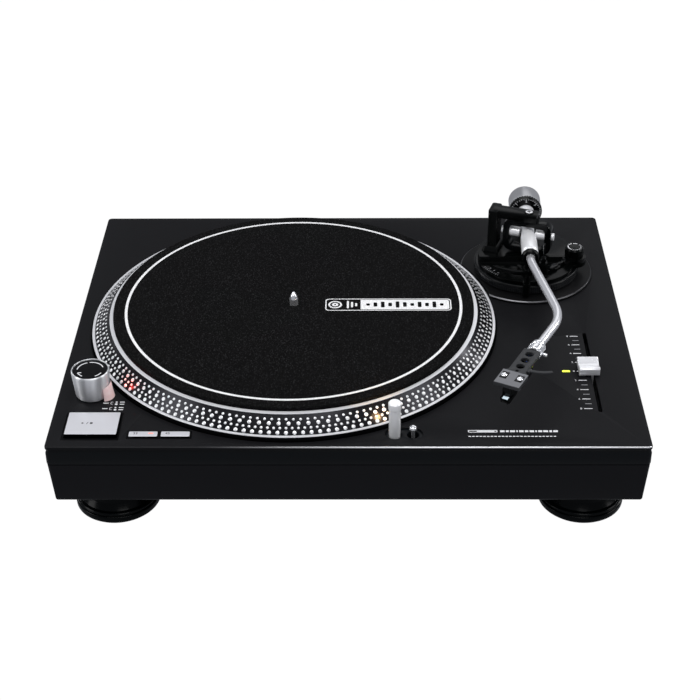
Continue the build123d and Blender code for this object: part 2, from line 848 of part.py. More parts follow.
gimbal_bottom = 100.0
gimbal_top = 130.0
with BuildPart() as gimbal_bracket:
    with BuildSketch(plane_at(pivot_x, pivot_y, plateau_top, gimbal_heading)):
        with Locations((-30.5, 0)):
            RectangleRounded(13, 20, 2)
    extrude(amount=4, taper=20)
    with BuildSketch(plane_at(pivot_x, pivot_y, plateau_top, gimbal_heading)):
        with Locations((-29.75, 0)):
            RectangleRounded(6.5, 15, 1.2)
    extrude(amount=38)
    with BuildSketch(plane_at(pivot_x, pivot_y, gimbal_top + 1, gimbal_heading)):
        with Locations((-13.25, 0)):
            Rectangle(39.5, 9.5)
        with Locations((0, 0)):
            Rectangle(14, 9.5)
    extrude(amount=5)
    with BuildSketch(Plane.XY.offset(gimbal_top - 4)):
        with Locations(pivot):
            Circle(2)
    extrude(amount=5)
    with BuildSketch(Plane.XY.offset(gimbal_top + 6)):
        with Locations(pivot):
            Circle(3)
    extrude(amount=1)
save(gimbal_bracket, "gimbal_bracket")

# The gimbal is an upright ring that turns on two vertical pivots.
gimbal_plane = Plane(
    origin=(pivot_x, pivot_y, (gimbal_bottom + gimbal_top) / 2),
    x_dir=(cos(radians(gimbal_heading)), sin(radians(gimbal_heading)), 0),
    z_dir=(-sin(radians(gimbal_heading)), cos(radians(gimbal_heading)), 0),
)
pitch_offset = arm_height - (gimbal_bottom + gimbal_top) / 2
with BuildPart() as gimbal_ring:
    with BuildSketch(gimbal_plane):
        RectangleRounded(42, gimbal_top - gimbal_bottom, 8)
        RectangleRounded(31, gimbal_top - gimbal_bottom - 10, 4, mode=Mode.SUBTRACT)
    extrude(amount=4.5, both=True)
    with BuildSketch(Plane.XY.offset(gimbal_bottom)):
        with Locations(pivot):
            Circle(3 + running_gap)
    extrude(amount=3.2, mode=Mode.SUBTRACT)
    with BuildSketch(Plane.XY.offset(gimbal_top)):
        with Locations(pivot):
            Circle(2 + running_gap)
    extrude(amount=-4.2, mode=Mode.SUBTRACT)
    side_plane = end_plane(pivot_x, pivot_y, arm_height, gimbal_heading)
    with BuildSketch(side_plane):
        Circle(2.8)
    extrude(amount=30, both=True, mode=Mode.SUBTRACT)
save(gimbal_ring, "gimbal_ring")

with BuildPart() as pitch_pivots:
    for heading in (gimbal_heading, gimbal_heading + 180):
        pin_plane = end_plane(pivot_x, pivot_y, arm_height, heading)
        with BuildSketch(pin_plane.offset(3.2)):
            Circle(1.5)
        extrude(amount=6)
        with BuildSketch(pin_plane.offset(7.2)):
            Circle(2.8)
        extrude(amount=14)
        with BuildSketch(pin_plane.offset(21)):
            Circle(3.8)
        extrude(amount=2.4)
save(pitch_pivots, "pitch_pivots")

# Arm rest: a post beside the arm carries a cradle that is open towards the platter.
rest_plane = plane_at(pivot_x, pivot_y, 0, arm_heading)
with BuildPart() as arm_rest:
    with BuildSketch(rest_plane.offset(board_top)):
        with Locations((34, 11.6)):
            Circle(3)
    extrude(amount=16.5)
    with BuildSketch(rest_plane.offset(108)):
        with Locations((43, 11.3)):
            Rectangle(24, 3.6)
    extrude(amount=3.4)
    with BuildSketch(rest_plane.offset(108)):
        with Locations((53, 4.8)):
            Rectangle(4, 16)
    extrude(amount=3.4)
    with BuildSketch(rest_plane.offset(110)):
        with Locations((53, 9.8)):
            Rectangle(4, 6.6)
    extrude(amount=9)
    with BuildSketch(end_plane(*along(pivot, arm_heading, 51), 121.6, arm_heading)):
        with Locations((9.8, 0)):
            Circle(2.4)
            Circle(1.2 + running_gap, mode=Mode.SUBTRACT)
        with Locations((9.8, -2)):
            Rectangle(2.4, 1.6)
    extrude(amount=1.3)
save(arm_rest, "arm_rest")

with BuildPart() as arm_clip:
    with BuildSketch(end_plane(*along(pivot, arm_heading, 51), 121.6, arm_heading)):
        with Locations((9.8, 0)):
            Circle(1.2)
    extrude(amount=4)
    with BuildSketch(end_plane(*along(pivot, arm_heading, 52.6), 121.6, arm_heading)):
        with Locations((9.8, 0)):
            Circle(2.2)
        with Locations((9.8, 8)):
            Rectangle(1.2, 15)
    extrude(amount=2.4)
save(arm_clip, "arm_clip")

with BuildPart() as arm_lifter:
    with BuildSketch(Plane.XY.offset(86)):
        with Locations(lift_centre):
            Circle(2)
    extrude(amount=18.5)
    # The lifting bar follows the arm's own arc.
    with BuildSketch(Plane.XY.offset(104)):
        with Locations(pivot):
            Circle(lift_distance + 1.5)
            Circle(lift_distance - 1.5, mode=Mode.SUBTRACT)
        with BuildLine():
            Polyline(
                pivot,
                along(pivot, arm_heading + 5, 70),
                along(pivot, arm_heading - 18, 70),
                along(pivot, arm_heading - 38, 70),
                close=True,
            )
        make_face(mode=Mode.INTERSECT)
    extrude(amount=3)
save(arm_lifter, "arm_lifter")

with BuildPart() as height_lock_lever:
    lock_centre = along(pivot, arm_heading - 16, 20)
    with BuildSketch(Plane.XY.offset(board_top)):
        with Locations(lock_centre):
            Circle(3.4)
    extrude(amount=3)
    with BuildSketch(plane_at(*lock_centre, board_top + 1, arm_heading + 14)):
        with Locations((7, 0)):
            SlotOverall(14, 3.4)
    extrude(amount=2)
save(height_lock_lever, "height_lock_lever")

with BuildPart() as anti_skate_knob:
    with BuildSketch(Plane.XY.offset(plateau_top + 0.3)):
        with Locations((antiskate_x, antiskate_y)):
            Circle(8.1)
    extrude(amount=7.5)
    fillet(anti_skate_knob.faces().sort_by(Axis.Z)[-1].edges(), 0.8)
save(anti_skate_knob, "anti_skate_knob")

# Cue lever: a hub in front of the plateau and a thin rod with a flat handle.
lever_hub = (184.0, 68.6)
lever_heading = -137.0
with BuildPart() as cue_lever:
    hub_plane = end_plane(*lever_hub, 96.2, lever_heading + 90)
    with BuildSketch(hub_plane):
        Circle(2.3)
    extrude(amount=2, both=True)
    with BuildSketch(end_plane(*lever_hub, 96.2, lever_heading)):
        Circle(1.1)
    extrude(amount=11)
    with BuildSketch(plane_at(*lever_hub, 95.1, lever_heading)):
        with Locations((15, 0)):
            SlotOverall(11, 4.4)
    extrude(amount=2)
save(cue_lever, "cue_lever")

# ---------------------------------------------------------------- tonearm

with BuildPart() as arm_barrel:
    barrel_plane = end_plane(pivot_x, pivot_y, arm_height, arm_heading)
    arm_direction = barrel_plane.z_dir
    profile_plane = Plane(
        origin=(pivot_x, pivot_y, arm_height),
        x_dir=arm_direction,
        z_dir=(-arm_direction.Y, arm_direction.X, 0),
    )
    with BuildSketch(profile_plane):
        with BuildLine():
            Polyline(
                (5, 0),
                (-shaft_end, 0),
                (-shaft_end, 4.4),
                (-shaft_end + 0.6, 5),
                (-8, 5),
                (-7, 5.6),
                (3, 5.6),
            )
            Spline(
                (3, 5.6),
                (9, 6.6),
                (17, barrel_radius),
                tangents=((1, 0.2), (1, 0)),
            )
            Polyline(
                (17, barrel_radius),
                (36, barrel_radius),
                (37, 6),
                (37, 5.2),
                (43, 5.2),
                (43, 0),
                (5, 0),
            )
        make_face()
    revolve(axis=Axis((pivot_x, pivot_y, arm_height), tuple(arm_direction)))
    # Cross bore for the pitch pivots, and the bore that takes the tube.
    with BuildSketch(side_plane):
        Circle(1.5 + running_gap)
    extrude(amount=10, both=True, mode=Mode.SUBTRACT)
    with BuildSketch(barrel_plane.offset(30)):
        Circle(tube_radius + 0.4)
    extrude(amount=14, mode=Mode.SUBTRACT)
save(arm_barrel, "arm_barrel")

tube_start = along(pivot, arm_heading, 30)
with BuildPart() as arm_tube:
    with BuildLine() as tube_path:
        FilletPolyline(
            (*tube_start, arm_height),
            (*first_bend, arm_height),
            (*second_bend, arm_height),
            (*tube_end, arm_height),
            radius=bend_radii,
        )
    with BuildSketch(Plane(origin=tube_path.line @ 0, z_dir=tube_path.line % 0)):
        Circle(tube_radius)
        Circle(tube_radius - 0.7, mode=Mode.SUBTRACT)
    sweep(path=tube_path.line)
save(arm_tube, "arm_tube")

with BuildPart() as headshell_collar:
    collar_plane = end_plane(*tube_end, arm_height, shell_heading)
    with BuildSketch(collar_plane.offset(-2)):
        Circle(5.9)
    extrude(amount=12.4)
    chamfer(headshell_collar.edges().filter_by(GeomType.CIRCLE), 0.7)
    with BuildSketch(collar_plane.offset(-2)):
        Circle(tube_radius + 0.1)
    extrude(amount=12.4, mode=Mode.SUBTRACT)
save(headshell_collar, "headshell_collar")

shell_rear = along(tube_end, shell_heading, shell_gap)
shell_plane = plane_at(*shell_rear, shell_top - shell_thickness, shell_heading)
screw_from_front = 11.0
screw_spacing = 12.7
with BuildPart() as headshell:
    front_length = 18.0
    with BuildSketch(shell_plane):
        with BuildLine():
            Polyline(
                (0, -shell_rear_width / 2),
                (shell_length - front_length - 3, -shell_rear_width / 2),
                (shell_length - front_length, -shell_front_width / 2),
                (shell_length, -shell_front_width / 2),
                (shell_length, shell_front_width / 2),
                (shell_length - front_length, shell_front_width / 2),
                (shell_length - front_length - 3, shell_rear_width / 2),
                (0, shell_rear_width / 2),
                close=True,
            )
        make_face()
        with Locations((6.5, 0), (15.5, 0), (24.5, 0)):
            Circle(3.3, mode=Mode.SUBTRACT)
        with Locations((31, 0)):
            Circle(1.4, mode=Mode.SUBTRACT)
        with Locations((shell_length - screw_from_front, -screw_spacing / 2)):
            SlotOverall(9, 3.2, mode=Mode.SUBTRACT)
        with Locations((shell_length - screw_from_front, screw_spacing / 2)):
            SlotOverall(9, 3.2, mode=Mode.SUBTRACT)
    extrude(amount=shell_thickness)
    # Block and round plug at the rear, which the collar draws into the tube.
    with BuildSketch(shell_plane.offset(-4)):
        with Locations((1.2, 0)):
            Rectangle(2.4, 10)
    extrude(amount=4)
    with BuildSketch(collar_plane.offset(0.4)):
        Circle(3.8)
    extrude(amount=shell_gap)
save(headshell, "headshell")

with BuildPart() as headshell_screws:
    screw_places = [
        (shell_length - screw_from_front, -screw_spacing / 2),
        (shell_length - screw_from_front, screw_spacing / 2),
    ]
    with BuildSketch(shell_plane.offset(shell_thickness)):
        with Locations(*screw_places):
            Circle(2.5)
    extrude(amount=1.6)
    with BuildSketch(shell_plane.offset(-7)):
        with Locations(*screw_places):
            Circle(1.2)
    extrude(amount=7 + shell_thickness)
save(headshell_screws, "headshell_screws")

with BuildPart() as finger_lift:
    with BuildLine(shell_plane.offset(shell_thickness - 1)) as lift_path:
        ThreePointArc((26, shell_rear_width / 2 + 0.6), (24.6, 15.5), (20, 24))
    with BuildSketch(Plane(origin=lift_path.line @ 0, z_dir=lift_path.line % 0, x_dir=(0, 0, 1))):
        Rectangle(1.6, 2.6)
    sweep(path=lift_path.line)
    with BuildSketch(shell_plane.offset(shell_thickness - 1.8)):
        with Locations((26, shell_rear_width / 2 + 1)):
            Rectangle(5, 2)
    extrude(amount=1.6)
save(finger_lift, "finger_lift")

cartridge_front = shell_length + 0.6
with BuildPart() as cartridge:
    with BuildSketch(shell_plane):
        with Locations((cartridge_front - 12, 0)):
            RectangleRounded(20, 16.4, 1.5)
    extrude(amount=-6)
    with BuildSketch(shell_plane.offset(-6)):
        with Locations((cartridge_front - 12.5, 0)):
            RectangleRounded(18, 12, 1.5)
    extrude(amount=-3)
    with BuildSketch(shell_plane):
        with Locations(*screw_places):
            Circle(1.25)
    extrude(amount=-9, mode=Mode.SUBTRACT)
save(cartridge, "cartridge")

with BuildPart() as stylus:
    with BuildSketch(shell_plane.offset(-9)):
        with Locations((cartridge_front - 8, 0)):
            Rectangle(16, 8)
    extrude(amount=-4.5, taper=8)
    with BuildSketch(shell_plane.offset(-13.4)):
        with Locations((cartridge_front - 5.5, 0)):
            Rectangle(3, 2.4)
    extrude(amount=-3.2, taper=12)
    with BuildSketch(shell_plane.offset(-16.5)):
        with Locations((cartridge_front - 5.5, 0)):
            Circle(0.5)
    extrude(amount=-(shell_top - shell_thickness - 16.5 - tip_height), taper=10)
save(stylus, "stylus")

with BuildPart() as lead_wires:
    for side in (-4.2, -1.4, 1.4, 4.2):
        lead_plane = Plane(
            origin=shell_plane.from_local_coords((0, side, 0)),
            x_dir=shell_plane.x_dir,
            z_dir=shell_plane.y_dir,
        )
        with BuildLine(lead_plane) as lead_path:
            ThreePointArc((2.5, 2.4), (17, 4.6), (cartridge_front - 22.1, 3))
        with BuildSketch(Plane(origin=lead_path.line @ 0, z_dir=lead_path.line % 0)):
            Circle(0.5)
        sweep(path=lead_path.line)
save(lead_wires, "lead_wires")

# Balance weight: a sleeve slides on the shaft, and the weight and its dial turn on the sleeve.
rear_heading = arm_heading + 180
rear_plane = end_plane(pivot_x, pivot_y, arm_height, rear_heading)
with BuildPart() as weight_sleeve:
    with BuildSketch(rear_plane.offset(36.5)):
        Circle(7.5)
        Circle(5 + running_gap, mode=Mode.SUBTRACT)
    extrude(amount=24)
save(weight_sleeve, "weight_sleeve")

with BuildPart() as force_ring:
    with BuildSketch(rear_plane.offset(36.5)):
        Circle(weight_radius + 0.5)
        Circle(7.5 + running_gap, mode=Mode.SUBTRACT)
    extrude(amount=5.2)
save(force_ring, "force_ring")

with BuildPart() as counterweight:
    with BuildSketch(rear_plane.offset(42)):
        Circle(weight_radius)
    extrude(amount=19)
    chamfer(counterweight.edges().filter_by(GeomType.CIRCLE), 1)
    with BuildSketch(rear_plane.offset(42)):
        Circle(7.5 + running_gap)
    extrude(amount=19, mode=Mode.SUBTRACT)
save(counterweight, "counterweight")
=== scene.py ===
import json
import math

import bmesh
import bpy
from mathutils import Matrix, Vector


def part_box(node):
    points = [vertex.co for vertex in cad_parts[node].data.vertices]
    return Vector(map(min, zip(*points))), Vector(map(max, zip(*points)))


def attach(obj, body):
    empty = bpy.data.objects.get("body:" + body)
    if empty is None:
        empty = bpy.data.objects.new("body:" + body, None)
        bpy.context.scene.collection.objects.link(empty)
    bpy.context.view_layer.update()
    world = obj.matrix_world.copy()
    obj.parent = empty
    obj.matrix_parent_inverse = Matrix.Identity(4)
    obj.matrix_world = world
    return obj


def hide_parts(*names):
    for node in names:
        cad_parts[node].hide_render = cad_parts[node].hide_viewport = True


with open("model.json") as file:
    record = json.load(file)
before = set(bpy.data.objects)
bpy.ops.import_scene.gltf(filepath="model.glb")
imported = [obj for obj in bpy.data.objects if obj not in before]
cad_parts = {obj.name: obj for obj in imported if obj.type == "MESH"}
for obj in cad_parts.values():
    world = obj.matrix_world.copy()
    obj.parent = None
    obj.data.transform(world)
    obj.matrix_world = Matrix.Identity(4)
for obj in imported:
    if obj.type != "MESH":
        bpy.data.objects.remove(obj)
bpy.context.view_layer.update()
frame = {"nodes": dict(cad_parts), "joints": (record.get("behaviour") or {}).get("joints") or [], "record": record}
scene = bpy.context.scene
nodeObjects = frame["nodes"]
joints = {joint["name"]: joint for joint in frame["joints"]}
bodyOfNode = {
    node: body for body, members in frame["record"]["behaviour"]["bodies"].items() for node in members
}
mm = 0.001
turn = 2 * math.pi


# places that the frame gives


def lowOf(node):
    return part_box(node)[0] / mm


def highOf(node):
    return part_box(node)[1] / mm


def middleOf(node):
    return (lowOf(node) + highOf(node)) / 2


def at(x, y, z):
    return Matrix.Translation(Vector((x, y, z)) * mm)


def standOf(spot):
    # the point on the ground below
    return Vector((spot.x, spot.y, 0))


def frameAlong(origin, direction):
    # x runs along the direction, z stays up
    forward = Vector(direction).normalized()
    side = Vector((0, 0, 1)).cross(forward).normalized()
    turned = Matrix((forward, side, forward.cross(side))).transposed().to_4x4()
    return Matrix.Translation(Vector(origin)) @ turned


platterCentre = Vector(joints["platter_spin"]["pos_m"]) / mm
platterAxis = standOf(platterCentre)
pivot = Vector(joints["arm_swing"]["pos_m"]) / mm
rearward = Vector(joints["weight_slide"]["axis"])
tubeEnd = Vector(joints["collar_turn"]["pos_m"]) / mm
shellDirection = Vector(joints["collar_turn"]["axis"])
deckTop = highOf("top_panel").z
matTop = highOf("slipmat").z
shellFrame = frameAlong(tubeEnd * mm, shellDirection)


# finishes


class Wire:
    # one output of a material's node, so that sums on it read as sums

    def __init__(self, finish, socket):
        self.finish = finish
        self.socket = socket

    def maths(self, operation, *values):
        return self.finish.node("ShaderNodeMath", {"operation": operation}, dict(enumerate(values)))

    def __add__(self, other):
        return self.maths("ADD", self, other)

    def __sub__(self, other):
        return self.maths("SUBTRACT", self, other)

    def __mul__(self, other):
        return self.maths("MULTIPLY", self, other)

    def __rsub__(self, other):
        return self.maths("SUBTRACT", other, self)

    __radd__ = __add__
    __rmul__ = __mul__

    def above(self, limit, softness):
        # 0 below the limit, 1 above it
        return self.finish.node(
            "ShaderNodeMapRange", {"interpolation_type": "SMOOTHSTEP"},
            {0: self, 1: limit - softness, 2: limit + softness, 3: 0.0, 4: 1.0}
        )


class Finish:
    def __init__(self, name):
        self.material = bpy.data.materials.new(name)
        self.material.use_nodes = True
        self.tree = self.material.node_tree
        self.tree.nodes.clear()

    def node(self, kind, settings, sockets, output=0):
        made = self.tree.nodes.new(kind)
        for key, value in settings.items():
            setattr(made, key, value)
        for key, value in sockets.items():
            if isinstance(value, Wire):
                self.tree.links.new(value.socket, made.inputs[key])
            else:
                made.inputs[key].default_value = value
        return Wire(self, made.outputs[output]) if made.outputs else None

    def place(self, stretch=(1, 1, 1), centre=(0, 0, 0)):
        here = self.node("ShaderNodeTexCoord", {}, {}, "Object")
        moved = self.node("ShaderNodeVectorMath", {"operation": "SUBTRACT"}, {0: here, 1: tuple(centre)})
        return self.node("ShaderNodeVectorMath", {"operation": "MULTIPLY"}, {0: moved, 1: stretch})

    def noise(self, where, scale, detail=2.0):
        return self.node("ShaderNodeTexNoise", {}, {"Vector": where, "Scale": scale, "Detail": detail})

    def distance(self, where):
        return self.node("ShaderNodeVectorMath", {"operation": "LENGTH"}, {0: where}, "Value")

    def mix(self, factor, first, second):
        return self.node("ShaderNodeMix", {"data_type": "RGBA"}, {0: factor, 6: first, 7: second}, 2)

    def bump(self, height, depth):
        return self.node("ShaderNodeBump", {}, {"Height": height, "Distance": depth})

    def surface(self, **sockets):
        shader = self.node("ShaderNodeBsdfPrincipled", {}, {
            key.replace("_", " "): value for key, value in sockets.items()
        })
        self.node("ShaderNodeOutputMaterial", {}, {"Surface": shader})
        return self


def tone(*screen):
    # a screen colour, 0 to 255, as the renderer's linear colour
    linear = [c / 255 / 12.92 if c < 11 else ((c / 255 + 0.055) / 1.055) ** 2.4 for c in screen]
    return (*linear, 1.0)


def shaded(colour, share):
    return (*(c * share for c in tone(*colour)[:3]), 1)


def plainFinish(name, colour, rough, scale, depth, **look):
    # a painted, moulded or metal surface: cloudy colour, uneven gloss and a fine grain
    finish = Finish(name)
    here = finish.place(look.get("stretch", (1, 1, 1)))
    cloud = finish.noise(finish.place(), 35.0, 4.0)
    grain = finish.noise(here, scale, 3.0)
    spread = look.get("spread", 0.12)
    blend = cloud * 0.6 + grain * 0.4
    return finish.surface(
        Base_Color=finish.mix(blend, shaded(colour, 1 - spread), shaded(colour, 1 + spread)),
        Roughness=rough + (blend - 0.5) * look.get("uneven", 0.15), Normal=finish.bump(grain, depth * mm),
        Metallic=look.get("metal", 0.0), Specular_IOR_Level=look.get("shine", 0.5),
        Coat_Weight=look.get("coat", 0.0), Anisotropic=look.get("brushed", 0.0), Anisotropic_Rotation=0.25
    )


def turnedFinish(name, colour, rough, scale, depth, metal, shine=0.5):
    # metal cut on a lathe: fine rings about the platter's axis
    finish = Finish(name)
    radius = finish.distance(finish.place((1, 1, 0), platterCentre * mm))
    spoke = finish.node("ShaderNodeCombineXYZ", {}, {0: radius, 1: 0.0, 2: 0.0})
    rings = finish.noise(spoke, scale, 2.0)
    cloud = finish.noise(finish.place(), 60.0, 3.0)
    return finish.surface(
        Base_Color=finish.mix(rings * 0.6 + cloud * 0.4, shaded(colour, 0.84), tone(*colour)),
        Roughness=rough + (rings - 0.5) * 0.12, Normal=finish.bump(rings, depth * mm), Metallic=metal,
        Specular_IOR_Level=shine
    )


def glowFinish(name, tint, strength, glass):
    finish = Finish(name)
    mottle = finish.noise(finish.place(), 400.0, 2.0)
    return finish.surface(
        Base_Color=finish.mix(mottle, glass, tint), Roughness=0.2 + mottle * 0.1,
        Emission_Color=finish.mix(mottle * 0.3, tint, glass), Emission_Strength=strength
    )


def feltFinish(name, look):
    # needled felt: three tones of fibre, a soft nap and a few light flecks
    finish = Finish(name)
    here = finish.place()
    fibres = finish.noise(finish.place((1.0, 0.35, 1.0)), look["fibre"], 4.0)
    across = finish.noise(finish.place((0.35, 1.0, 1.0)), look["fibre"] * 1.15, 4.0)
    clumps = finish.noise(here, look["clump"], 3.0)
    nap = fibres * 0.5 + across * 0.5
    ground = finish.mix(nap.above(0.5, 0.14), look["dark"], look["mid"])
    flecked = finish.mix(
        (fibres * 0.6 + across * 0.4).above(look["fleckLimit"], 0.05), ground, look["fleck"]
    )
    worn = finish.mix(clumps.above(0.56, 0.2) * 0.35, flecked, look["mid"])
    return finish.surface(
        Base_Color=worn, Roughness=0.86 + nap * 0.12, Normal=finish.bump(nap, 0.25 * mm),
        Specular_IOR_Level=0.05, Sheen_Weight=look["sheen"], Sheen_Roughness=0.6,
        Sheen_Tint=look["sheenTint"]
    )


def paintedHighlightFinish(name, dull, bright, start, end):
    # painted highlight on a metal edge: the colour blends from the first tone on the left to the second on the
    # right, standing in for light caught by the edge
    finish = Finish(name)
    across = finish.node("ShaderNodeSeparateXYZ", {}, {0: finish.place()})
    grain = finish.noise(finish.place(), 300.0)
    middle, half = (start + end) / 2, (end - start) / 2
    return finish.surface(
        Base_Color=finish.mix(across.above(middle, half), dull, bright), Roughness=0.28 + grain * 0.08,
        Metallic=0.8
    )


deckPaint = plainFinish("deckPaint", (18, 18, 20), 0.46, 900.0, 0.012, shine=0.1, spread=0.15)
discPaint = plainFinish("discPaint", (11, 11, 12), 0.42, 900.0, 0.012, shine=0.1, spread=0.15)
edgePaint = plainFinish("edgePaint", (8, 11, 14), 0.34, 700.0, 0.01, shine=0.16)
caseBlack = plainFinish("caseBlack", (16, 16, 19), 0.4, 600.0, 0.03, shine=0.15)
footRubber = plainFinish("footRubber", (1, 3, 4), 0.2, 500.0, 0.02, shine=0.1)
platterBlack = turnedFinish("platterBlack", (44, 44, 47), 0.22, 2600.0, 0.004, metal=0.9, shine=0.25)
platterSilver = turnedFinish("platterSilver", (240, 240, 243), 0.34, 3200.0, 0.004, metal=0.45)
dotSilver = plainFinish("dotSilver", (224, 224, 226), 0.34, 500.0, 0.004, metal=0.75, spread=0.03)
matFelt = feltFinish("matFelt", dict(
    dark=tone(3, 3, 3), mid=tone(9, 9, 9), fleck=tone(36, 36, 37), fleckLimit=0.575, fibre=1400.0,
    clump=90.0, sheen=0.02, sheenTint=tone(150, 150, 155)
))
matPrintWhite = feltFinish("matPrintWhite", dict(
    dark=tone(205, 205, 207), mid=tone(240, 240, 240), fleck=tone(255, 255, 255), fleckLimit=0.62,
    fibre=1500.0, clump=90.0, sheen=0.05, sheenTint=tone(250, 250, 250)
))
knobSilver = plainFinish(
    "knobSilver", (236, 237, 240), 0.36, 300.0, 0.003, metal=0.85, spread=0.04, brushed=0.95
)
tubeSilver = plainFinish("tubeSilver", (224, 224, 228), 0.22, 300.0, 0.002, metal=0.72, spread=0.03)
# painted highlights: the deck's front rim lighter to the right, the arm disc's rim lighter to the left
edgePaintedHighlight = paintedHighlightFinish("edgePaintedHighlight", tone(28, 28, 30), tone(215, 215, 218), -0.12, 0.09)
discPaintedHighlight = paintedHighlightFinish("discPaintedHighlight", tone(112, 112, 115), tone(44, 44, 46), 0.13, 0.2)
frameBlack = plainFinish("frameBlack", (2, 2, 3), 0.4, 700.0, 0.006, shine=0.06)
# the ribs are a lighter copy of the ring's black: the gloss is real, the lighter colour is a painted highlight
# along the knurl
ribBlackHighlight = plainFinish("ribBlackHighlight", (34, 35, 37), 0.24, 700.0, 0.004, shine=0.7)
tubeChrome = plainFinish(
    "tubeChrome", (252, 252, 253), 0.26, 300.0, 0.002, metal=0.35, spread=0.02, brushed=0.9
)
insetBlack = plainFinish("insetBlack", (11, 11, 13), 0.5, 700.0, 0.006, shine=0.08)
chrome = plainFinish("chrome", (236, 237, 240), 0.12, 300.0, 0.002, metal=0.85, uneven=0.05, spread=0.03)
satinSteel = plainFinish("satinSteel", (246, 246, 248), 0.3, 260.0, 0.004, metal=0.4, spread=0.03)
weightSteel = plainFinish("weightSteel", (182, 182, 185), 0.3, 240.0, 0.004, metal=0.8, spread=0.06)
buttonSilver = plainFinish("buttonSilver", (212, 212, 217), 0.36, 800.0, 0.006, metal=0.35, spread=0.03)
faderSilver = plainFinish("faderSilver", (240, 240, 243), 0.26, 800.0, 0.004, metal=0.45, spread=0.03)
glossBlack = plainFinish("glossBlack", (4, 5, 6), 0.14, 500.0, 0.004, shine=0.16, uneven=0.05)
armBlack = plainFinish("armBlack", (3, 4, 4), 0.2, 650.0, 0.006, shine=0.12)
ringBlack = plainFinish("ringBlack", (4, 5, 6), 0.22, 700.0, 0.006, shine=0.16)
shellBlack = plainFinish("shellBlack", (46, 47, 49), 0.45, 900.0, 0.012, shine=0.3)
shellPlateGrey = plainFinish("shellPlateGrey", (112, 113, 117), 0.36, 800.0, 0.008, metal=0.3, spread=0.12)
hiddenMetal = plainFinish("hiddenMetal", (120, 122, 126), 0.45, 300.0, 0.02, metal=0.8)
hiddenPlastic = plainFinish("hiddenPlastic", (28, 28, 30), 0.55, 500.0, 0.02)
boardGreen = plainFinish("boardGreen", (18, 66, 40), 0.4, 350.0, 0.01, coat=0.3)
coilCopper = plainFinish("coilCopper", (184, 106, 62), 0.35, 900.0, 0.06, metal=0.9, stretch=(1, 1, 6))
magnetGrey = plainFinish("magnetGrey", (60, 60, 64), 0.5, 400.0, 0.02, metal=0.4)
brass = plainFinish("brass", (200, 164, 92), 0.25, 400.0, 0.006, metal=1.0)
printWhite = plainFinish("printWhite", (222, 222, 225), 0.5, 900.0, 0.004, spread=0.04)
printGrey = plainFinish("printGrey", (150, 150, 154), 0.5, 900.0, 0.004, spread=0.04)
printDark = plainFinish("printDark", (16, 16, 20), 0.5, 900.0, 0.004, spread=0.04)
leadFinishes = [
    plainFinish(name, colour, 0.4, 600.0, 0.01, spread=0.05) for name, colour in (
        ("leadWhite", (215, 215, 212)), ("leadBlue", (50, 80, 170)), ("leadGreen", (40, 130, 70)),
        ("leadRed", (205, 40, 36))
    )
]
strobeLens = glowFinish("strobeLens", tone(226, 186, 184), 0.12, tone(240, 222, 222))
lampWarm = glowFinish("lampWarm", tone(255, 226, 170), 9.0, tone(255, 250, 240))
lampGreen = glowFinish("lampGreen", tone(214, 236, 30), 1.1, tone(250, 255, 120))
markRed = glowFinish("markRed", tone(255, 90, 60), 1.0, tone(255, 190, 170))
# the stylus stripe glows though it is no lamp: painted light that keeps it pale
stripePaintedGlow = glowFinish("stripePaintedGlow", tone(205, 228, 240), 0.25, tone(235, 245, 250))
print("finishes are ready")


# mesh making


def toMesh(shape):
    mesh = bpy.data.meshes.new("shape")
    shape.to_mesh(mesh)
    shape.free()
    return mesh


def joined(*meshes):
    shape = bmesh.new()
    for mesh in meshes:
        shape.from_mesh(mesh)
    return toMesh(shape)


def roundCorners(points, radius, steps=3, closed=False):
    # each corner of an outline becomes a short curve; a third value is that corner's own radius
    made = []
    for i, point in enumerate(points):
        corner = Vector(point[:2])
        own = point[2] if len(point) > 2 else radius
        if own <= 0 or (not closed and i in (0, len(points) - 1)):
            made.append(corner)
            continue
        back = Vector(points[i - 1][:2]) - corner
        ahead = Vector(points[(i + 1) % len(points)][:2]) - corner
        opening = back.angle(ahead)
        if opening > math.pi - 0.03:
            made.append(corner)
            continue
        cut = min(own / math.tan(opening / 2), 0.45 * back.length, 0.45 * ahead.length)
        start = corner + back.normalized() * cut
        end = corner + ahead.normalized() * cut
        for k in range(steps + 1):
            t = k / steps
            made.append(start * (1 - t) ** 2 + corner * 2 * t * (1 - t) + end * t * t)
    return made


def lathe(profile, centre, axis=(0, 0, 1), steps=96, radius=0.3):
    # profile points are (radius, height) in mm; it closes on the axis, or into a ring
    solid = profile[0][0] == 0 and profile[-1][0] == 0
    points = roundCorners(profile, radius, closed=not solid)
    up = Vector(axis).normalized()
    side = up.orthogonal().normalized()
    other = up.cross(side)
    origin = Vector(centre) * mm
    shape = bmesh.new()
    rings = []
    for r, h in points:
        base = origin + up * h * mm
        spokes = 1 if r < 1e-6 else steps
        rings.append(
            [
                shape.verts.new(
                    base + (
                        side * math.cos(turn * i / steps) + other * math.sin(turn * i / steps)
                    ) * r * mm
                ) for i in range(spokes)
            ]
        )
    pairs = list(zip(rings, rings[1:]))
    if not solid:
        pairs.append((rings[-1], rings[0]))
    for first, second in pairs:
        for i in range(steps):
            j = (i + 1) % steps
            if len(first) == 1:
                shape.faces.new((first[0], second[j], second[i]))
            elif len(second) == 1:
                shape.faces.new((first[i], first[j], second[0]))
            else:
                shape.faces.new((first[i], first[j], second[j], second[i]))
    bmesh.ops.recalc_face_normals(shape, faces=shape.faces)
    return toMesh(shape)


def bevelSharp(shape, width, angle=35, segments=2):
    corners = [
        e for e in shape.edges if len(e.link_faces) == 2 and e.calc_face_angle(0) > math.radians(angle)
    ]
    bmesh.ops.bevel(
        shape, geom=corners, offset=width * mm, offset_type="OFFSET", segments=segments, profile=0.5,
        affect="EDGES", clamp_overlap=True
    )


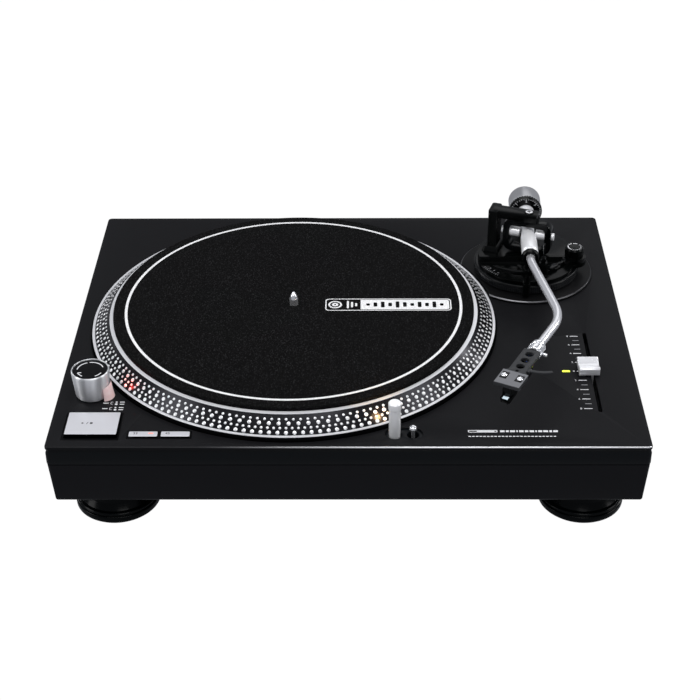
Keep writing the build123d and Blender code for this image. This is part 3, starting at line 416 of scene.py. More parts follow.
def prism(outline, bottom, top, edge=0.0, place=None, corner=0.0):
    # an outline in mm pulled up from bottom to top, its rims softened
    points = roundCorners(outline, corner, steps=5, closed=True) if corner else outline
    shape = bmesh.new()
    floor = [shape.verts.new((p[0] * mm, p[1] * mm, bottom * mm)) for p in points]
    face = shape.faces.new(floor)
    grown = bmesh.ops.extrude_face_region(shape, geom=[face])["geom"]
    bmesh.ops.translate(
        shape, verts=[v for v in grown if isinstance(v, bmesh.types.BMVert)],
        vec=(0, 0, (top - bottom) * mm)
    )
    bmesh.ops.recalc_face_normals(shape, faces=shape.faces)
    if edge:
        bevelSharp(shape, edge, 50, 3)
    mesh = toMesh(shape)
    if place is not None:
        mesh.transform(place)
    return mesh


def rectangle(centre, width, length):
    x, y = centre[0], centre[1]
    w, h = width / 2, length / 2
    return [(x - w, y - h), (x + w, y - h), (x + w, y + h), (x - w, y + h)]


def arcBand(inner, outer, start, end, steps=24):
    # outline of a flat band between two radii, angles in degrees
    angles = [math.radians(start + (end - start) * i / steps) for i in range(steps + 1)]
    rim = [(outer * math.cos(a), outer * math.sin(a)) for a in angles]
    return rim + [(inner * math.cos(a), inner * math.sin(a)) for a in reversed(angles)]


def copyOf(node, edge, angle=35, segments=2):
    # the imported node's own shape, merged, with its sharp edges softened
    shape = bmesh.new()
    shape.from_mesh(nodeObjects[node].data)
    bmesh.ops.remove_doubles(shape, verts=shape.verts, dist=0.002 * mm)
    bmesh.ops.dissolve_limit(shape, angle_limit=math.radians(0.4), verts=shape.verts, edges=shape.edges)
    if edge:
        bevelSharp(shape, edge, angle, segments)
    return toMesh(shape)


def bakedMesh(name, data, prepare=None):
    # the mesh of a curve, a text or a modifier, taken from an object that is then removed
    holder = bpy.data.objects.new(name, data)
    scene.collection.objects.link(holder)
    if prepare:
        prepare(holder)
    bpy.context.view_layer.update()
    seen = holder.evaluated_get(bpy.context.evaluated_depsgraph_get())
    mesh = bpy.data.meshes.new_from_object(seen)
    holder.modifiers.clear()
    bpy.data.objects.remove(holder)
    return mesh


def words(text, size, place, depth=0.02):
    letters = bpy.data.curves.new("words", "FONT")
    letters.body = text
    letters.size = size * mm
    letters.extrude = depth * mm
    letters.align_x = "CENTER"
    letters.align_y = "CENTER"
    letters.resolution_u = 3
    mesh = bakedMesh("words", letters)
    mesh.transform(place)
    return mesh


def tubeMesh(points, radius, sides=8):
    curve = bpy.data.curves.new("tube", "CURVE")
    curve.dimensions = "3D"
    curve.bevel_depth = radius * mm
    curve.bevel_resolution = sides
    curve.use_fill_caps = True
    spline = curve.splines.new("POLY")
    spline.points.add(len(points) - 1)
    for knot, point in zip(spline.points, points):
        knot.co = (*(Vector(point) * mm), 1)
    shape = bmesh.new()
    shape.from_mesh(bakedMesh("tube", curve))
    bmesh.ops.remove_doubles(shape, verts=shape.verts, dist=0.001 * mm)
    bmesh.ops.recalc_face_normals(shape, faces=shape.faces)
    return toMesh(shape)


def bentPath(points, radii, steps=14):
    # straight runs joined by true arcs
    path = [Vector(points[0])]
    for i, radius in enumerate(radii, 1):
        corner = Vector(points[i])
        back = (Vector(points[i - 1]) - corner).normalized()
        ahead = (Vector(points[i + 1]) - corner).normalized()
        opening = back.angle(ahead)
        cut = radius / math.tan(opening / 2)
        centre = corner + (back + ahead).normalized() * radius / math.sin(opening / 2)
        start, end = corner + back * cut - centre, corner + ahead * cut - centre
        sweep, axis = start.angle(end), start.cross(end)
        path += [centre + Matrix.Rotation(sweep * k / steps, 3, axis) @ start for k in range(steps + 1)]
    return path + [Vector(points[-1])]


def softenShading(mesh, degrees):
    shape = bmesh.new()
    shape.from_mesh(mesh)
    limit = math.radians(degrees)
    for face in shape.faces:
        face.smooth = True
    for edge in shape.edges:
        edge.smooth = len(edge.link_faces) == 2 and edge.calc_face_angle(0) < limit
    shape.to_mesh(mesh)
    shape.free()


def grown(mesh, distance, edge):
    # the same shape, thicker by the distance all round, its corners softened
    shape = bmesh.new()
    shape.from_mesh(mesh)
    bmesh.ops.recalc_face_normals(shape, faces=shape.faces)
    shape.normal_update()
    moves = [(v, v.normal * v.calc_shell_factor() * distance * mm) for v in shape.verts]
    for vertex, move in moves:
        vertex.co += move
    bevelSharp(shape, edge)
    return toMesh(shape)


def addPiece(name, mesh, finishes, body, smooth=32):
    chosen = finishes if isinstance(finishes, (list, tuple)) else [finishes]
    indices = [face.material_index for face in mesh.polygons]
    mesh.materials.clear()
    for finish in chosen:
        mesh.materials.append(finish.material)
    for face, index in zip(mesh.polygons, indices):
        face.material_index = min(index, len(chosen) - 1)
    softenShading(mesh, smooth)
    mesh.name = name
    piece = bpy.data.objects.new(name, mesh)
    scene.collection.objects.link(piece)
    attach(piece, body)
    return piece


def standIn(name, node, mesh, finishes, smooth=32):
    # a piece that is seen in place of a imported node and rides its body
    piece = addPiece(name, mesh, finishes, bodyOfNode[node], smooth)
    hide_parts(node)
    return piece


# a row or ring of one small item, as a geometry tree


rowInputs = {
    "Count": "NodeSocketInt",
    "Centre": "NodeSocketVector",
    "Radius": "NodeSocketFloat",
    "Start angle": "NodeSocketFloat",
    "Step angle": "NodeSocketFloat",
    "Step along": "NodeSocketVector",
    "Lean": "NodeSocketFloat",
    "Item size": "NodeSocketVector",
}


def rowTree(item, finish):
    tree = bpy.data.node_groups.new("rowOf" + item, "GeometryNodeTree")
    for label, kind in rowInputs.items():
        tree.interface.new_socket(name=label, in_out="INPUT", socket_type=kind)
    tree.interface.new_socket(name="Geometry", in_out="OUTPUT", socket_type="NodeSocketGeometry")

    def step(kind, settings=None, **links):
        made = tree.nodes.new(kind)
        for key, value in (settings or {}).items():
            setattr(made, key, value)
        for key, value in links.items():
            socket = made.inputs[int(key[1:]) if key[0] == "i" and key[1:].isdigit() else key]
            if isinstance(value, bpy.types.NodeSocket):
                tree.links.new(value, socket)
            else:
                socket.default_value = value
        return made

    given = tree.nodes.new("NodeGroupInput").outputs
    index = step("GeometryNodeInputIndex").outputs[0]
    turned = step("ShaderNodeMath", {"operation": "MULTIPLY"}, i0=index, i1=given["Step angle"])
    angle = step("ShaderNodeMath", {"operation": "ADD"}, i0=turned.outputs[0], i1=given["Start angle"])
    across = step("ShaderNodeMath", {"operation": "COSINE"}, i0=angle.outputs[0])
    along = step("ShaderNodeMath", {"operation": "SINE"}, i0=angle.outputs[0])
    spoke = step("ShaderNodeCombineXYZ", i0=across.outputs[0], i1=along.outputs[0])
    reach = step(
        "ShaderNodeVectorMath", {"operation": "SCALE"}, i0=spoke.outputs[0], Scale=given["Radius"]
    )
    moved = step("ShaderNodeVectorMath", {"operation": "SCALE"}, i0=given["Step along"], Scale=index)
    total = step("ShaderNodeVectorMath", {"operation": "ADD"}, i0=reach.outputs[0], i1=moved.outputs[0])
    where = step("ShaderNodeVectorMath", {"operation": "ADD"}, i0=total.outputs[0], i1=given["Centre"])
    points = step("GeometryNodePoints", Count=given["Count"], Position=where.outputs[0])
    tilt = step("ShaderNodeCombineXYZ", i1=given["Lean"], i2=angle.outputs[0])
    if item == "Bar":
        solid = step("GeometryNodeMeshCube", Size=(1.0, 1.0, 1.0)).outputs[0]
    elif item == "Dome":
        solid = step("GeometryNodeMeshUVSphere", Segments=10, Rings=5, Radius=0.5).outputs[0]
    else:
        solid = step("GeometryNodeMeshCylinder", Vertices=16, Radius=0.5, Depth=1.0).outputs[0]
    placed = step(
        "GeometryNodeInstanceOnPoints", Points=points.outputs[0], Instance=solid,
        Rotation=tilt.outputs[0], Scale=given["Item size"]
    )
    real = step("GeometryNodeRealizeInstances", i0=placed.outputs[0])
    painted = step("GeometryNodeSetMaterial", Geometry=real.outputs[0], Material=finish.material)
    tree.links.new(painted.outputs[0], tree.nodes.new("NodeGroupOutput").inputs[0])
    return tree


def rowOf(item, finish, place=None, **settings):
    # lengths in mm and angles in degrees
    tree = rowTree(item, finish)
    codes = {
        socket.name: socket.identifier for socket in tree.interface.items_tree if socket.in_out == "INPUT"
    }
    values = {
        "Count": settings["count"],
        "Centre": [c * mm for c in settings["centre"]],
        "Radius": settings.get("radius", 0.0) * mm,
        "Start angle": math.radians(settings.get("start", 0.0)),
        "Step angle": math.radians(settings.get("step", 0.0)),
        "Step along": [c * mm for c in settings.get("along", (0, 0, 0))],
        "Lean": math.radians(settings.get("lean", 0.0)),
        "Item size": [c * mm for c in settings["size"]],
    }

    def prepare(holder):
        modifier = holder.modifiers.new("row", "NODES")
        modifier.node_group = tree
        for label, value in values.items():
            modifier[codes[label]] = value

    mesh = bakedMesh("row", bpy.data.meshes.new("row"), prepare)
    if place is not None:
        mesh.transform(place)
    return mesh


# camera, light and floor


view = dict(
    elevation=33.485, yaw=0.76, roll=-0.4885, distance=1.2618, target=(0.000456, -0.045915, deckTop * mm),
    lens=80.45
)


def makeCamera(settings):
    e, a, r = (math.radians(settings[key]) for key in ("elevation", "yaw", "roll"))
    back = Vector((math.sin(a) * math.cos(e), -math.cos(a) * math.cos(e), math.sin(e)))
    right = Vector((math.cos(a), math.sin(a), 0))
    up = back.cross(right)
    right, up = (math.cos(r) * right + math.sin(r) * up, math.cos(r) * up - math.sin(r) * right)
    camera = bpy.data.objects.new("camera", bpy.data.cameras.new("camera"))
    turned = Matrix((right, up, back)).transposed().to_4x4()
    spot = Vector(settings["target"]) + back * settings["distance"]
    camera.matrix_world = Matrix.Translation(spot) @ turned
    camera.data.lens = settings["lens"]
    camera.data.sensor_width = 36
    scene.collection.objects.link(camera)
    scene.camera = camera


softboxes = {
    # name: place, aim, width, height, watts
    "overheadBox": ((-0.05, -0.28, 1.28), (0, -0.05, 0.08), 0.95, 0.7, 8.0),
    "backBox": ((0.5, 1.5, 1.15), (0.1, 0, 0.08), 1.1, 0.45, 1.6),
    "leftBox": ((-1.3, -0.4, 0.7), (0, 0, 0.1), 0.5, 1.1, 6.0),
    "rightBox": ((1.3, -0.2, 0.8), (0, 0, 0.1), 0.5, 1.1, 6.0),
    "leftStrip": ((-1.15, 0.75, 0.95), (0, 0, 0.1), 0.06, 0.9, 4.0),
    "rightStrip": ((1.15, 0.6, 0.9), (0, 0, 0.1), 0.06, 0.9, 4.0),
    "frontBox": ((0.3, -1.5, 1.1), (0, 0, 0.08), 0.7, 0.3, 2.5),
}


def makeLamp(name, kind, place, aim, settings):
    lamp = bpy.data.lights.new(name, kind)
    for key, value in settings.items():
        setattr(lamp, key, value)
    holder = bpy.data.objects.new(name, lamp)
    scene.collection.objects.link(holder)
    away = (Vector(aim) - Vector(place)).to_track_quat("-Z", "Y").to_matrix().to_4x4()
    holder.matrix_world = Matrix.Translation(Vector(place)) @ away


def makeSoftbox(name, place, aim, width, height, watts):
    makeLamp(name, "AREA", place, aim, dict(shape="RECTANGLE", size=width, size_y=height, energy=watts))


def makeGlow(name, place, aim, tint, watts, spread):
    # a small lamp that throws its colour on what is beside it; place and aim in mm
    settings = dict(energy=watts, color=tint, spot_size=math.radians(spread))
    settings.update(spot_blend=0.6, shadow_soft_size=1.2 * mm)
    makeLamp(name, "SPOT", Vector(place) * mm, Vector(aim) * mm, settings)


def makeWorld(studio):
    # the room is white to the eye and a dim grey to the object
    world = bpy.data.worlds.new("studio")
    scene.world = world
    world.use_nodes = True
    nodes, links = world.node_tree.nodes, world.node_tree.links
    nodes.clear()
    seen = nodes.new("ShaderNodeBackground")
    seen.inputs["Strength"].default_value = 1.02
    seen.inputs["Color"].default_value = (1, 1, 1, 1)
    room = nodes.new("ShaderNodeBackground")
    room.inputs["Color"].default_value = studio["tint"]
    room.inputs["Strength"].default_value = studio["strength"]
    ray = nodes.new("ShaderNodeLightPath")
    choice = nodes.new("ShaderNodeMixShader")
    links.new(ray.outputs["Is Camera Ray"], choice.inputs[0])
    links.new(room.outputs[0], choice.inputs[1])
    links.new(seen.outputs[0], choice.inputs[2])
    links.new(choice.outputs[0], nodes.new("ShaderNodeOutputWorld").inputs[0])


def makeFloor(size):
    floor = bpy.data.objects.new("floor", prism(rectangle((0, 0), size, size), -2.0, 0.0))
    white = Finish("floorWhite")
    shade = white.node("ShaderNodeEmission", {}, {"Color": (1, 1, 1, 1), "Strength": 1.02})
    white.node("ShaderNodeOutputMaterial", {}, {"Surface": shade})
    floor.data.materials.append(white.material)
    scene.collection.objects.link(floor)
    floor.visible_glossy = False
    floor.visible_diffuse = False


scene.view_settings.view_transform = "Standard"
makeCamera(view)
makeWorld(dict(tint=(0.9, 0.93, 1.0, 1.0), strength=0.34))
makeFloor(16000)
for name, settings in softboxes.items():
    makeSoftbox(name, *settings)
print("camera, light and floor are ready")


# the case

caseParts = {
    # piece: node, softened edge, finish, slot
    "deckPlate": ("top_panel", 0.45, deckPaint, "deck_black"),
    "upperTray": ("upper_chassis", 0.35, edgePaint, "deck_black"),
    "lowerShell": ("bottom_case", 0.4, caseBlack, "case_black"),
    "footScrews": ("foot_screws", 0.3, satinSteel, "steel"),
    "socketPanel": ("terminal_panel", 0.3, hiddenPlastic, "black_plastic"),
    "inletShell": ("power_inlet", 0.3, hiddenPlastic, "black_plastic"),
    "startFrame": ("start_button_frame", 0.4, frameBlack, "gloss_black"),
    "speedFrame": ("speed_button_frame", 0.3, frameBlack, "gloss_black"),
    "lampBase": ("light_socket", 0.3, edgePaint, "gloss_black"),
}
for name, (node, edge, finish, slot) in caseParts.items():
    standIn(name, node, copyOf(node, edge), finish)


def paintEdgeHighlight(piece, finish, low, chosen):
    # slanted faces of a softened rim take a finish of their own: a painted highlight along the rim
    piece.data.materials.append(finish.material)
    for face in piece.data.polygons:
        if face.center.z > low * mm and 0.15 < face.normal.z < 0.95 and chosen(face):
            face.material_index = len(piece.data.materials) - 1


# the deck's front rim carries a painted highlight
paintEdgeHighlight(bpy.data.objects["deckPlate"], edgePaintedHighlight, deckTop - 1.2, lambda face: face.center.y < -0.1745)

foot = dict(profile=[
    (7.2, 0.8), (8.2, 0.0), (30.6, 0.0, 1.0), (33.0, 2.2, 2.0), (33.0, 6.6, 1.5), (31.4, 7.2, 0.4),
    (31.4, 8.2, 0.4), (32.6, 8.8, 0.6), (31.6, 10.0, 0.8), (29.5, 10.4, 0.6), (26.2, 15.5, 2.5),
    (26.0, 19.0, 2.0), (27.6, 25.2, 1.0), (27.8, 26.6, 0), (7.2, 26.6, 0)
])
for corner in ("front_left", "front_right", "rear_left", "rear_right"):
    node = "foot_" + corner
    middle = middleOf(node)
    left, right = corner.split("_")
    standIn(
left + right.capitalize() + "Foot",
node,
lathe(foot["profile"], standOf(middle)),
footRubber,
)
print("case is made")

# rear sockets

standIn("signalJacks", "rca_jacks", copyOf("rca_jacks", 0.2), satinSteel)
standIn("lineSwitchTab", "line_switch", copyOf("line_switch", 0.2), hiddenPlastic)
print("rear is made")

# platter

platter = dict(
    skirtBottom=77.0, flankFoot=83.6, flankTop=94.4, rimRadius=166.0, rimLand=2.2, ledgeRadius=151.0,
    silver=0.1, shaftRadius=5.05, pinRadius=3.68
)


def makePlatter(p):
    rim = p["rimRadius"]
    profile = [
        (p["shaftRadius"], 80.4, 0), (30, 80.4, 1), (34, 88.4, 1), (145, 90.4, 2), (150, 88.4, 2),
        (159.5, 80.4, 1), (160.5, p["skirtBottom"], 0.2), (rim, p["skirtBottom"], 0.3),
        (rim, p["flankFoot"], 0.45), (rim - p["rimLand"], p["flankFoot"], 0.15),
        (rim - p["rimLand"] - 0.25, p["flankFoot"] - 0.15, 0.0),
        (rim - p["rimLand"] - 0.5, p["flankFoot"] + 0.1, 0.0),
        (p["ledgeRadius"] + p["silver"], p["flankTop"] - 0.4 - 0.77 * p["silver"], 0.0),
        (p["ledgeRadius"] - 2.9, p["flankTop"], 0.1), (p["pinRadius"], p["flankTop"], 0),
        (p["pinRadius"], 89.4, 0), (p["shaftRadius"], 88.0, 0)
    ]
    mesh = lathe(profile, platterAxis, steps=288)
    for face in mesh.polygons:
        middle = face.center / mm - platterAxis
        radius = middle.to_2d().length
        ring = radius > rim - p["rimLand"] and middle.z > p["flankFoot"] - 0.6
        ledge = p["ledgeRadius"] - 6 < radius < p["ledgeRadius"] + p["silver"]
        ledge = ledge and middle.z > p["flankTop"] - 1.2
        face.material_index = 1 if ring or ledge else 0
    standIn("platterBody", "platter", mesh, [platterBlack, platterSilver], 20)


strobeRows = dict(
    counts=(180, 133, 216, 160),
    shares=(0.235, 0.44, 0.665, 0.895),  # place up the flank, from the ledge out
    sizes=(2.2, 3.2, 2.2, 3.2),
    height=0.8,
)


def makeStrobeRows(s):
    p = platter
    top = Vector((p["ledgeRadius"] + 0.5, p["flankTop"] - 0.55))
    foot = Vector((p["rimRadius"] - p["rimLand"] - 0.5, p["flankFoot"] + 0.1))
    lean = 90 - math.degrees(math.atan2(foot.x - top.x, top.y - foot.y))
    rows = []
    for count, share, size in zip(s["counts"], s["shares"], s["sizes"]):
        spot = top.lerp(foot, share)
        rows.append(
            rowOf(
"Dome",
dotSilver,
count=count,
centre=(platterCentre.x, platterCentre.y, spot.y),
radius=spot.x,
step=360 / count,
lean=lean,
size=(size, size, s["height"]),
)
        )
    addPiece("strobeDots", joined(*rows), dotSilver, "platter", smooth=60)


spindleProfile = [
    (0, 37.5, 0), (3.6, 37.5, 0.5), (5.0, 39.0, 0.5), (5.0, 88.0, 0.3), (3.6, 89.4, 0.3),
    (3.6, 102.4, 1.2), (2.6, 105.4, 2.0), (0.9, 108.4, 0.7), (0, 108.8, 0)
]

mat = dict(radius=148.0, bottom=94.4, hole=3.9, ringInner=136.3, ringOuter=138.5, print=0.06)
badge = dict(left=-20.0, right=83.5, front=-13.8, rear=4.6, line=0.9, gap=0.9, cell=29.0, corner=4.0)


def ringBand(inner, outer, bottom, top, centre, steps=192):
    profile = [(inner, bottom), (outer, bottom), (outer, top), (inner, top)]
    return lathe(profile, standOf(centre), steps=steps, radius=0.0)


def frameBand(outline, line, corner, bottom, top):
    # a thin printed line that follows a rounded rectangle
    (x0, y0), (x1, y1) = outline
    outer = roundCorners([(x0, y0), (x1, y0), (x1, y1), (x0, y1)], corner, 8, True)
    inner = roundCorners(
        [(x0 + line, y0 + line), (x1 - line, y0 + line), (x1 - line, y1 - line), (x0 + line, y1 - line)],
        max(corner - line, 0.1), 8, True
    )
    shape = bmesh.new()
    rings = [
        [shape.verts.new((p[0] * mm, p[1] * mm, z * mm)) for p in points]
        for points, z in ((outer, bottom), (outer, top), (inner, top), (inner, bottom))
    ]
    for first, second in zip(rings, rings[1:] + rings[:1]):
        for i in range(len(first)):
            j = (i + 1) % len(first)
            shape.faces.new((first[i], first[j], second[j], second[i]))
    bmesh.ops.recalc_face_normals(shape, faces=shape.faces)
    return toMesh(shape)


def makeMat(m, b):
    profile = [
        (m["hole"], m["bottom"], 0), (m["radius"] - 0.4, m["bottom"], 0.3),
        (m["radius"], m["bottom"] + 0.8, 0.6), (m["radius"], matTop - 0.7, 0.6),
        (m["radius"] - 0.9, matTop, 0.6), (m["hole"] + 0.5, matTop, 0.3), (m["hole"], matTop - 0.4, 0.2)
    ]
    felt = standIn("feltMat", "slipmat", lathe(profile, platterAxis, steps=256), matFelt, 40)
    low, high = matTop - 0.02, matTop + m["print"]
    inset = b["line"] + b["gap"]
    middle = (b["front"] + b["rear"]) / 2
    cellEnd = b["left"] + b["cell"]
    parts = [ringBand(m["ringInner"], m["ringOuter"], low, high, platterCentre), frameBand(
        ((b["left"], b["front"]), (b["right"], b["rear"])), b["line"], b["corner"], low, high
    )]
    # left cell: a disc mark drawn as rings; right cell: a light panel with level bars
    discs = Vector((b["left"] + inset + 6.2, middle, 0))
    for inner, outer in ((0.9, 2.6), (4.2, 5.6)):
        parts.append(ringBand(inner, outer, low, high, discs, 48))
    for offset in (0.0, 3.4, 6.8):
        parts.append(
            prism(rectangle((discs.x + 10.5 + offset, middle), 1.7, 11.5 - offset), low, high, corner=0.7)
        )
    panel = [
        (cellEnd, b["front"] + inset), (b["right"] - inset, b["front"] + inset, b["corner"] - 1.5),
        (b["right"] - inset, b["rear"] - inset, b["corner"] - 1.5), (cellEnd, b["rear"] - inset)
    ]
    parts.append(prism(roundCorners(panel, 0.4, 5, True), low, high))
    printed = addPiece("matPrint", joined(*parts), matPrintWhite, "slipmat", smooth=40)
    heights = (3.4, 6.4, 8.8, 5.6, 9.6, 7.0, 4.2, 8.2, 5.2, 9.0, 3.6)
    pitch = (b["right"] - inset - cellEnd) / (len(heights) + 1)
    bars = [
        prism(
            rectangle((cellEnd + pitch * (i + 1), middle), pitch * 0.5, tall), high - 0.03, high + 0.03,
            corner=1.0
        ) for i, tall in enumerate(heights)
    ]
    dark = addPiece("matPrintBars", joined(*bars), matFelt, "slipmat", smooth=40)
    area = math.pi * (m["radius"] * mm) ** 2


makePlatter(platter)
makeStrobeRows(strobeRows)
standIn("spindlePin", "spindle", lathe(spindleProfile, platterAxis, steps=48), chrome)
makeMat(mat, badge)
print("platter and mat are made")

# controls on the left

knobCentre = middleOf("power_knob")
knob = dict(
    profile=[
        (0, 80.5, 0), (12.2, 80.5, 0.3), (12.7, 81.4, 0.4), (13.1, 84.0, 1.0), (14.7, 100.6, 1.5),
        (14.7, 102.6, 0.6), (14.1, 103.4, 0.4), (13.7, 103.3, 0.2), (13.6, 102.0, 0.1), (0, 102.0, 0)
    ],
    insetTop=102.6, arcs=((20, 100), (110, 178), (205, 240), (300, 335))
)


def makeKnob(k):
    standIn(
"powerKnob",
"power_knob",
lathe(k["profile"], standOf(knobCentre), steps=128),
knobSilver,
)
    inset = [(0, 101.95), (13.45, 101.95), (13.45, k["insetTop"]), (0, k["insetTop"])]
    addPiece(
        "knobInset", lathe(inset, standOf(knobCentre), steps=96, radius=0.15), insetBlack, "power_knob"
    )
    place = at(*standOf(knobCentre))
    low, high = k["insetTop"] - 0.02, k["insetTop"] + 0.05
    marks = [prism(arcBand(9.6, 10.4, a, b), low, high, place=place) for a, b in k["arcs"]]
    marks.append(prism(rectangle((-7.4, -4.2), 2.6, 1.0), low, high, place=place))
    addPiece("knobPrint", joined(*marks), printWhite, "power_knob")


makeKnob(knob)
strobeCover = dict(foot=81.0, height=10.0, pull=0.9, gap=14.9, squat=0.68)


def makeStrobeCover(c):
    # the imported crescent, its outer wall drawn in towards the knob as it rises
    mesh = copyOf("strobe_lamp", 0)
    axis = Vector((knobCentre.x, knobCentre.y)) * mm
    for vertex in mesh.vertices:
        vertex.co.z = (deckTop + (vertex.co.z / mm - deckTop) * c["squat"]) * mm
        rise = max(0.0, min(1.0, (vertex.co.z / mm - c["foot"]) / c["height"]))
        out = vertex.co.to_2d() - axis
        reach = out.length / mm
        if reach > c["gap"]:
            wanted = reach - (reach - c["gap"]) * c["pull"] * rise
            out *= wanted / reach
            vertex.co.x, vertex.co.y = axis.x + out.x, axis.y + out.y
    standIn("strobeCover", "strobe_lamp", mesh, strobeLens, 50)


makeStrobeCover(strobeCover)

buttons = dict(corner=1.0, edge=0.3, depth=5.0)


def makeButton(name, node, finish, edge, trim=0.0):
    low, high = lowOf(node), highOf(node)
    low.y += trim
    outline = rectangle(((low.x + high.x) / 2, (low.y + high.y) / 2), high.x - low.x, high.y - low.y)
    foot = max(low.z, high.z - buttons["depth"])
    mesh = prism(outline, foot, high.z, edge, corner=buttons["corner"])
    for face in mesh.polygons:
        face.material_index = 0 if face.normal.z > 0.4 else 1
    return standIn(name, node, mesh, [finish, frameBlack])


makeButton("startButton", "start_stop_button", buttonSilver, buttons["edge"], 1.1)
makeButton("slowButton", "speed_button_33", buttonSilver, 0.35)
makeButton("fastButton", "speed_button_45", buttonSilver, 0.35)


def printOn(name, body, finish, meshes):
    return addPiece(name, joined(*meshes), finish, body)


startTop = highOf("start_stop_button").z
startMiddle = middleOf("start_stop_button")
startMark = at(startMiddle.x - 2.0, startMiddle.y + 0.6, 0)
printOn("startPrint", "start_button", printDark, [
    prism([(-6.2, -1.1), (-4.4, 0), (-6.2, 1.1)], startTop - 0.02, startTop + 0.03, place=startMark),
    prism(
        [(-2.7, -1.3), (-2.2, -1.3), (-1.2, 1.3), (-1.7, 1.3)], startTop - 0.02, startTop + 0.03,
        place=startMark
    ),
    prism(rectangle((1.1, 0), 2.0, 2.0), startTop - 0.02, startTop + 0.03, place=startMark)
])
for node, number, body in (("speed_button_33", "33", "speed_33"), ("speed_button_45", "45", "speed_45")):
    top, middle = highOf(node).z, middleOf(node)
    place = at(middle.x - 5.8, middle.y + 0.6, top)
    printOn(body.replace("_", "") + "Print", body, printDark, [words(number, 3.6, place, 0.05)])
slowMiddle, slowTop = middleOf("speed_button_33"), highOf("speed_button_33").z
addPiece(
    "speedLamp",
    prism(rectangle((slowMiddle.x + 5.8, slowMiddle.y + 0.6), 3.4, 0.9), slowTop - 0.02, slowTop + 0.06),
    markRed, "speed_33"
)

legend = dict(left=-188.6, rows=(-118.2, -121.0, -125.4, -128.2), bar=3.6, dot=(0.8, 1.1, 0.8, 1.1))


def makeLegend(s):
    # which row of dots stands still at which speed: two brackets, four dots and short bars
    low, high = deckTop - 0.02, deckTop + 0.05
    marks = []
    for first in (0, 2):
        y0, y1 = s["rows"][first], s["rows"][first + 1]
        middle = (y0 + y1) / 2
        marks.append(prism(rectangle((s["left"] + 2.2, middle), 4.2, 0.9), low, high))
        marks.append(prism(rectangle((s["left"] + 6.0, middle), 0.35, y0 - y1), low, high))
        for y, dot in ((y0, s["dot"][first]), (y1, s["dot"][first + 1])):
            marks.append(prism(rectangle((s["left"] + 6.8, y), 1.6, 0.35), low, high))
            place = at(s["left"] + 10.2, y, 0)
            marks.append(prism(arcBand(0.001, dot, 0, 359.9, 16), low, high, place=place))
            marks.append(prism(rectangle((s["left"] + 14.6, y), s["bar"], 0.9), low, high))
    printOn("strobeLegend", "root", printWhite, marks)


makeLegend(legend)
print("left controls are made")

# target light

tubeCentre = middleOf("target_light_tube")
lampAim = math.radians(117.0)
tube = dict(shift=(-0.1, 0.2), radius=4.4, cap=4.85)


def makeTargetTube(t):
    # a bright post with a wider cap; its lamp, which faces the platter, is made after it
    low, top = lowOf("target_light_tube").z, highOf("target_light_tube").z
    r, cap = t["radius"], t["cap"]
    profile = [
        (0, low, 0), (r, low, 0.2), (r, top - 6.6, 0.3), (r + 0.1, top - 6.2, 0.2), (cap, top - 5.8, 0.3),
        (cap, top - 1.0, 0.6), (cap - 1.0, top, 0.4), (cap - 1.6, top - 0.1, 0.2),
        (cap - 2.2, top - 0.9, 0.3), (0, top - 1.0, 0)
    ]
    place = (tubeCentre.x + t["shift"][0], tubeCentre.y + t["shift"][1], 0)
    standIn("targetTube", "target_light_tube", lathe(profile, place, steps=72), tubeChrome)


makeTargetTube(tube)
lamp = dict(bottom=96.6, top=101.6, reach=4.6, width=3.6, thick=0.5)
lampDirection = Vector((math.cos(lampAim), math.sin(lampAim), 0))
lampPlace = frameAlong(standOf(tubeCentre) * mm, lampDirection)
addPiece(
    "targetLamp",
    prism(
        rectangle((lamp["reach"], 0), lamp["thick"], lamp["width"]), lamp["bottom"], lamp["top"], 0.15,
        lampPlace
    ),
    lampWarm, "target_light"
)
buttonCentre = middleOf("light_button")
buttonTop = highOf("light_button").z
buttonLow = lowOf("light_button").z
mushroom = [
    (0, buttonLow, 0), (1.5, buttonLow, 0.1), (1.5, buttonTop - 3.4, 0.3), (2.6, buttonTop - 3.0, 0.4),
    (3.0, buttonTop - 2.2, 0.6), (2.5, buttonTop - 0.6, 0.8), (1.2, buttonTop - 0.1, 0.6),
    (0, buttonTop, 0)
]
standIn("lightButton", "light_button", lathe(mushroom, standOf(buttonCentre), steps=40), chrome)
# warm light from the post falls on the strobe dots, red light beside the knob on the rim
lampSpot = standOf(tubeCentre) + Vector(
    (0, 0, (lamp["bottom"] + lamp["top"]) / 2 + 1.9)
) + lampDirection * 7
lampFall = lampDirection * 20 - Vector((0, 0, 9))
makeGlow("lampGlow", lampSpot, lampSpot + lampFall, (1.0, 0.58, 0.26), 0.03, 110)
strobeSpot = standOf(middleOf("strobe_lamp")) + Vector((7.5, 5.0, 91.0))
strobeAim = platterAxis + Vector((0, 0, 60.0))
makeGlow("strobeGlow", strobeSpot, strobeAim, (1.0, 0.06, 0.04), 0.014, 120)
print("target light is made")

# pitch fader

capLow, capHigh = lowOf("fader_cap"), highOf("fader_cap")
capMiddle = middleOf("fader_cap")
fader = dict(crown=[
    (-8.9, 81.6, 0), (-8.9, 86.9, 0.6), (-7.9, 88.3, 0.5), (-6.9, 88.3, 0.6), (0.0, 85.6, 14.0),
    (6.9, 88.3, 0.6), (7.9, 88.3, 0.5), (8.9, 86.9, 0.6), (8.9, 81.6, 0)
])


def makeFaderCap(f):
    # the side outline is drawn in y and z, then pulled across in x
    across = Matrix(((0, 0, 1, 0), (1, 0, 0, 0), (0, 1, 0, 0), (0, 0, 0, 1)))
    outline = roundCorners([(y + capMiddle.y, z, r) for y, z, r in f["crown"]], 0.3, 4, True)
    crown = prism(outline, capLow.x, capHigh.x, 0.45, across)
    stem = prism(rectangle((capMiddle.x + 3.1, capMiddle.y), 2.2, 9.0), lowOf("fader_cap").z, 82.0, 0.2)
    standIn("faderCap", "fader_cap", joined(crown, stem), faderSilver)


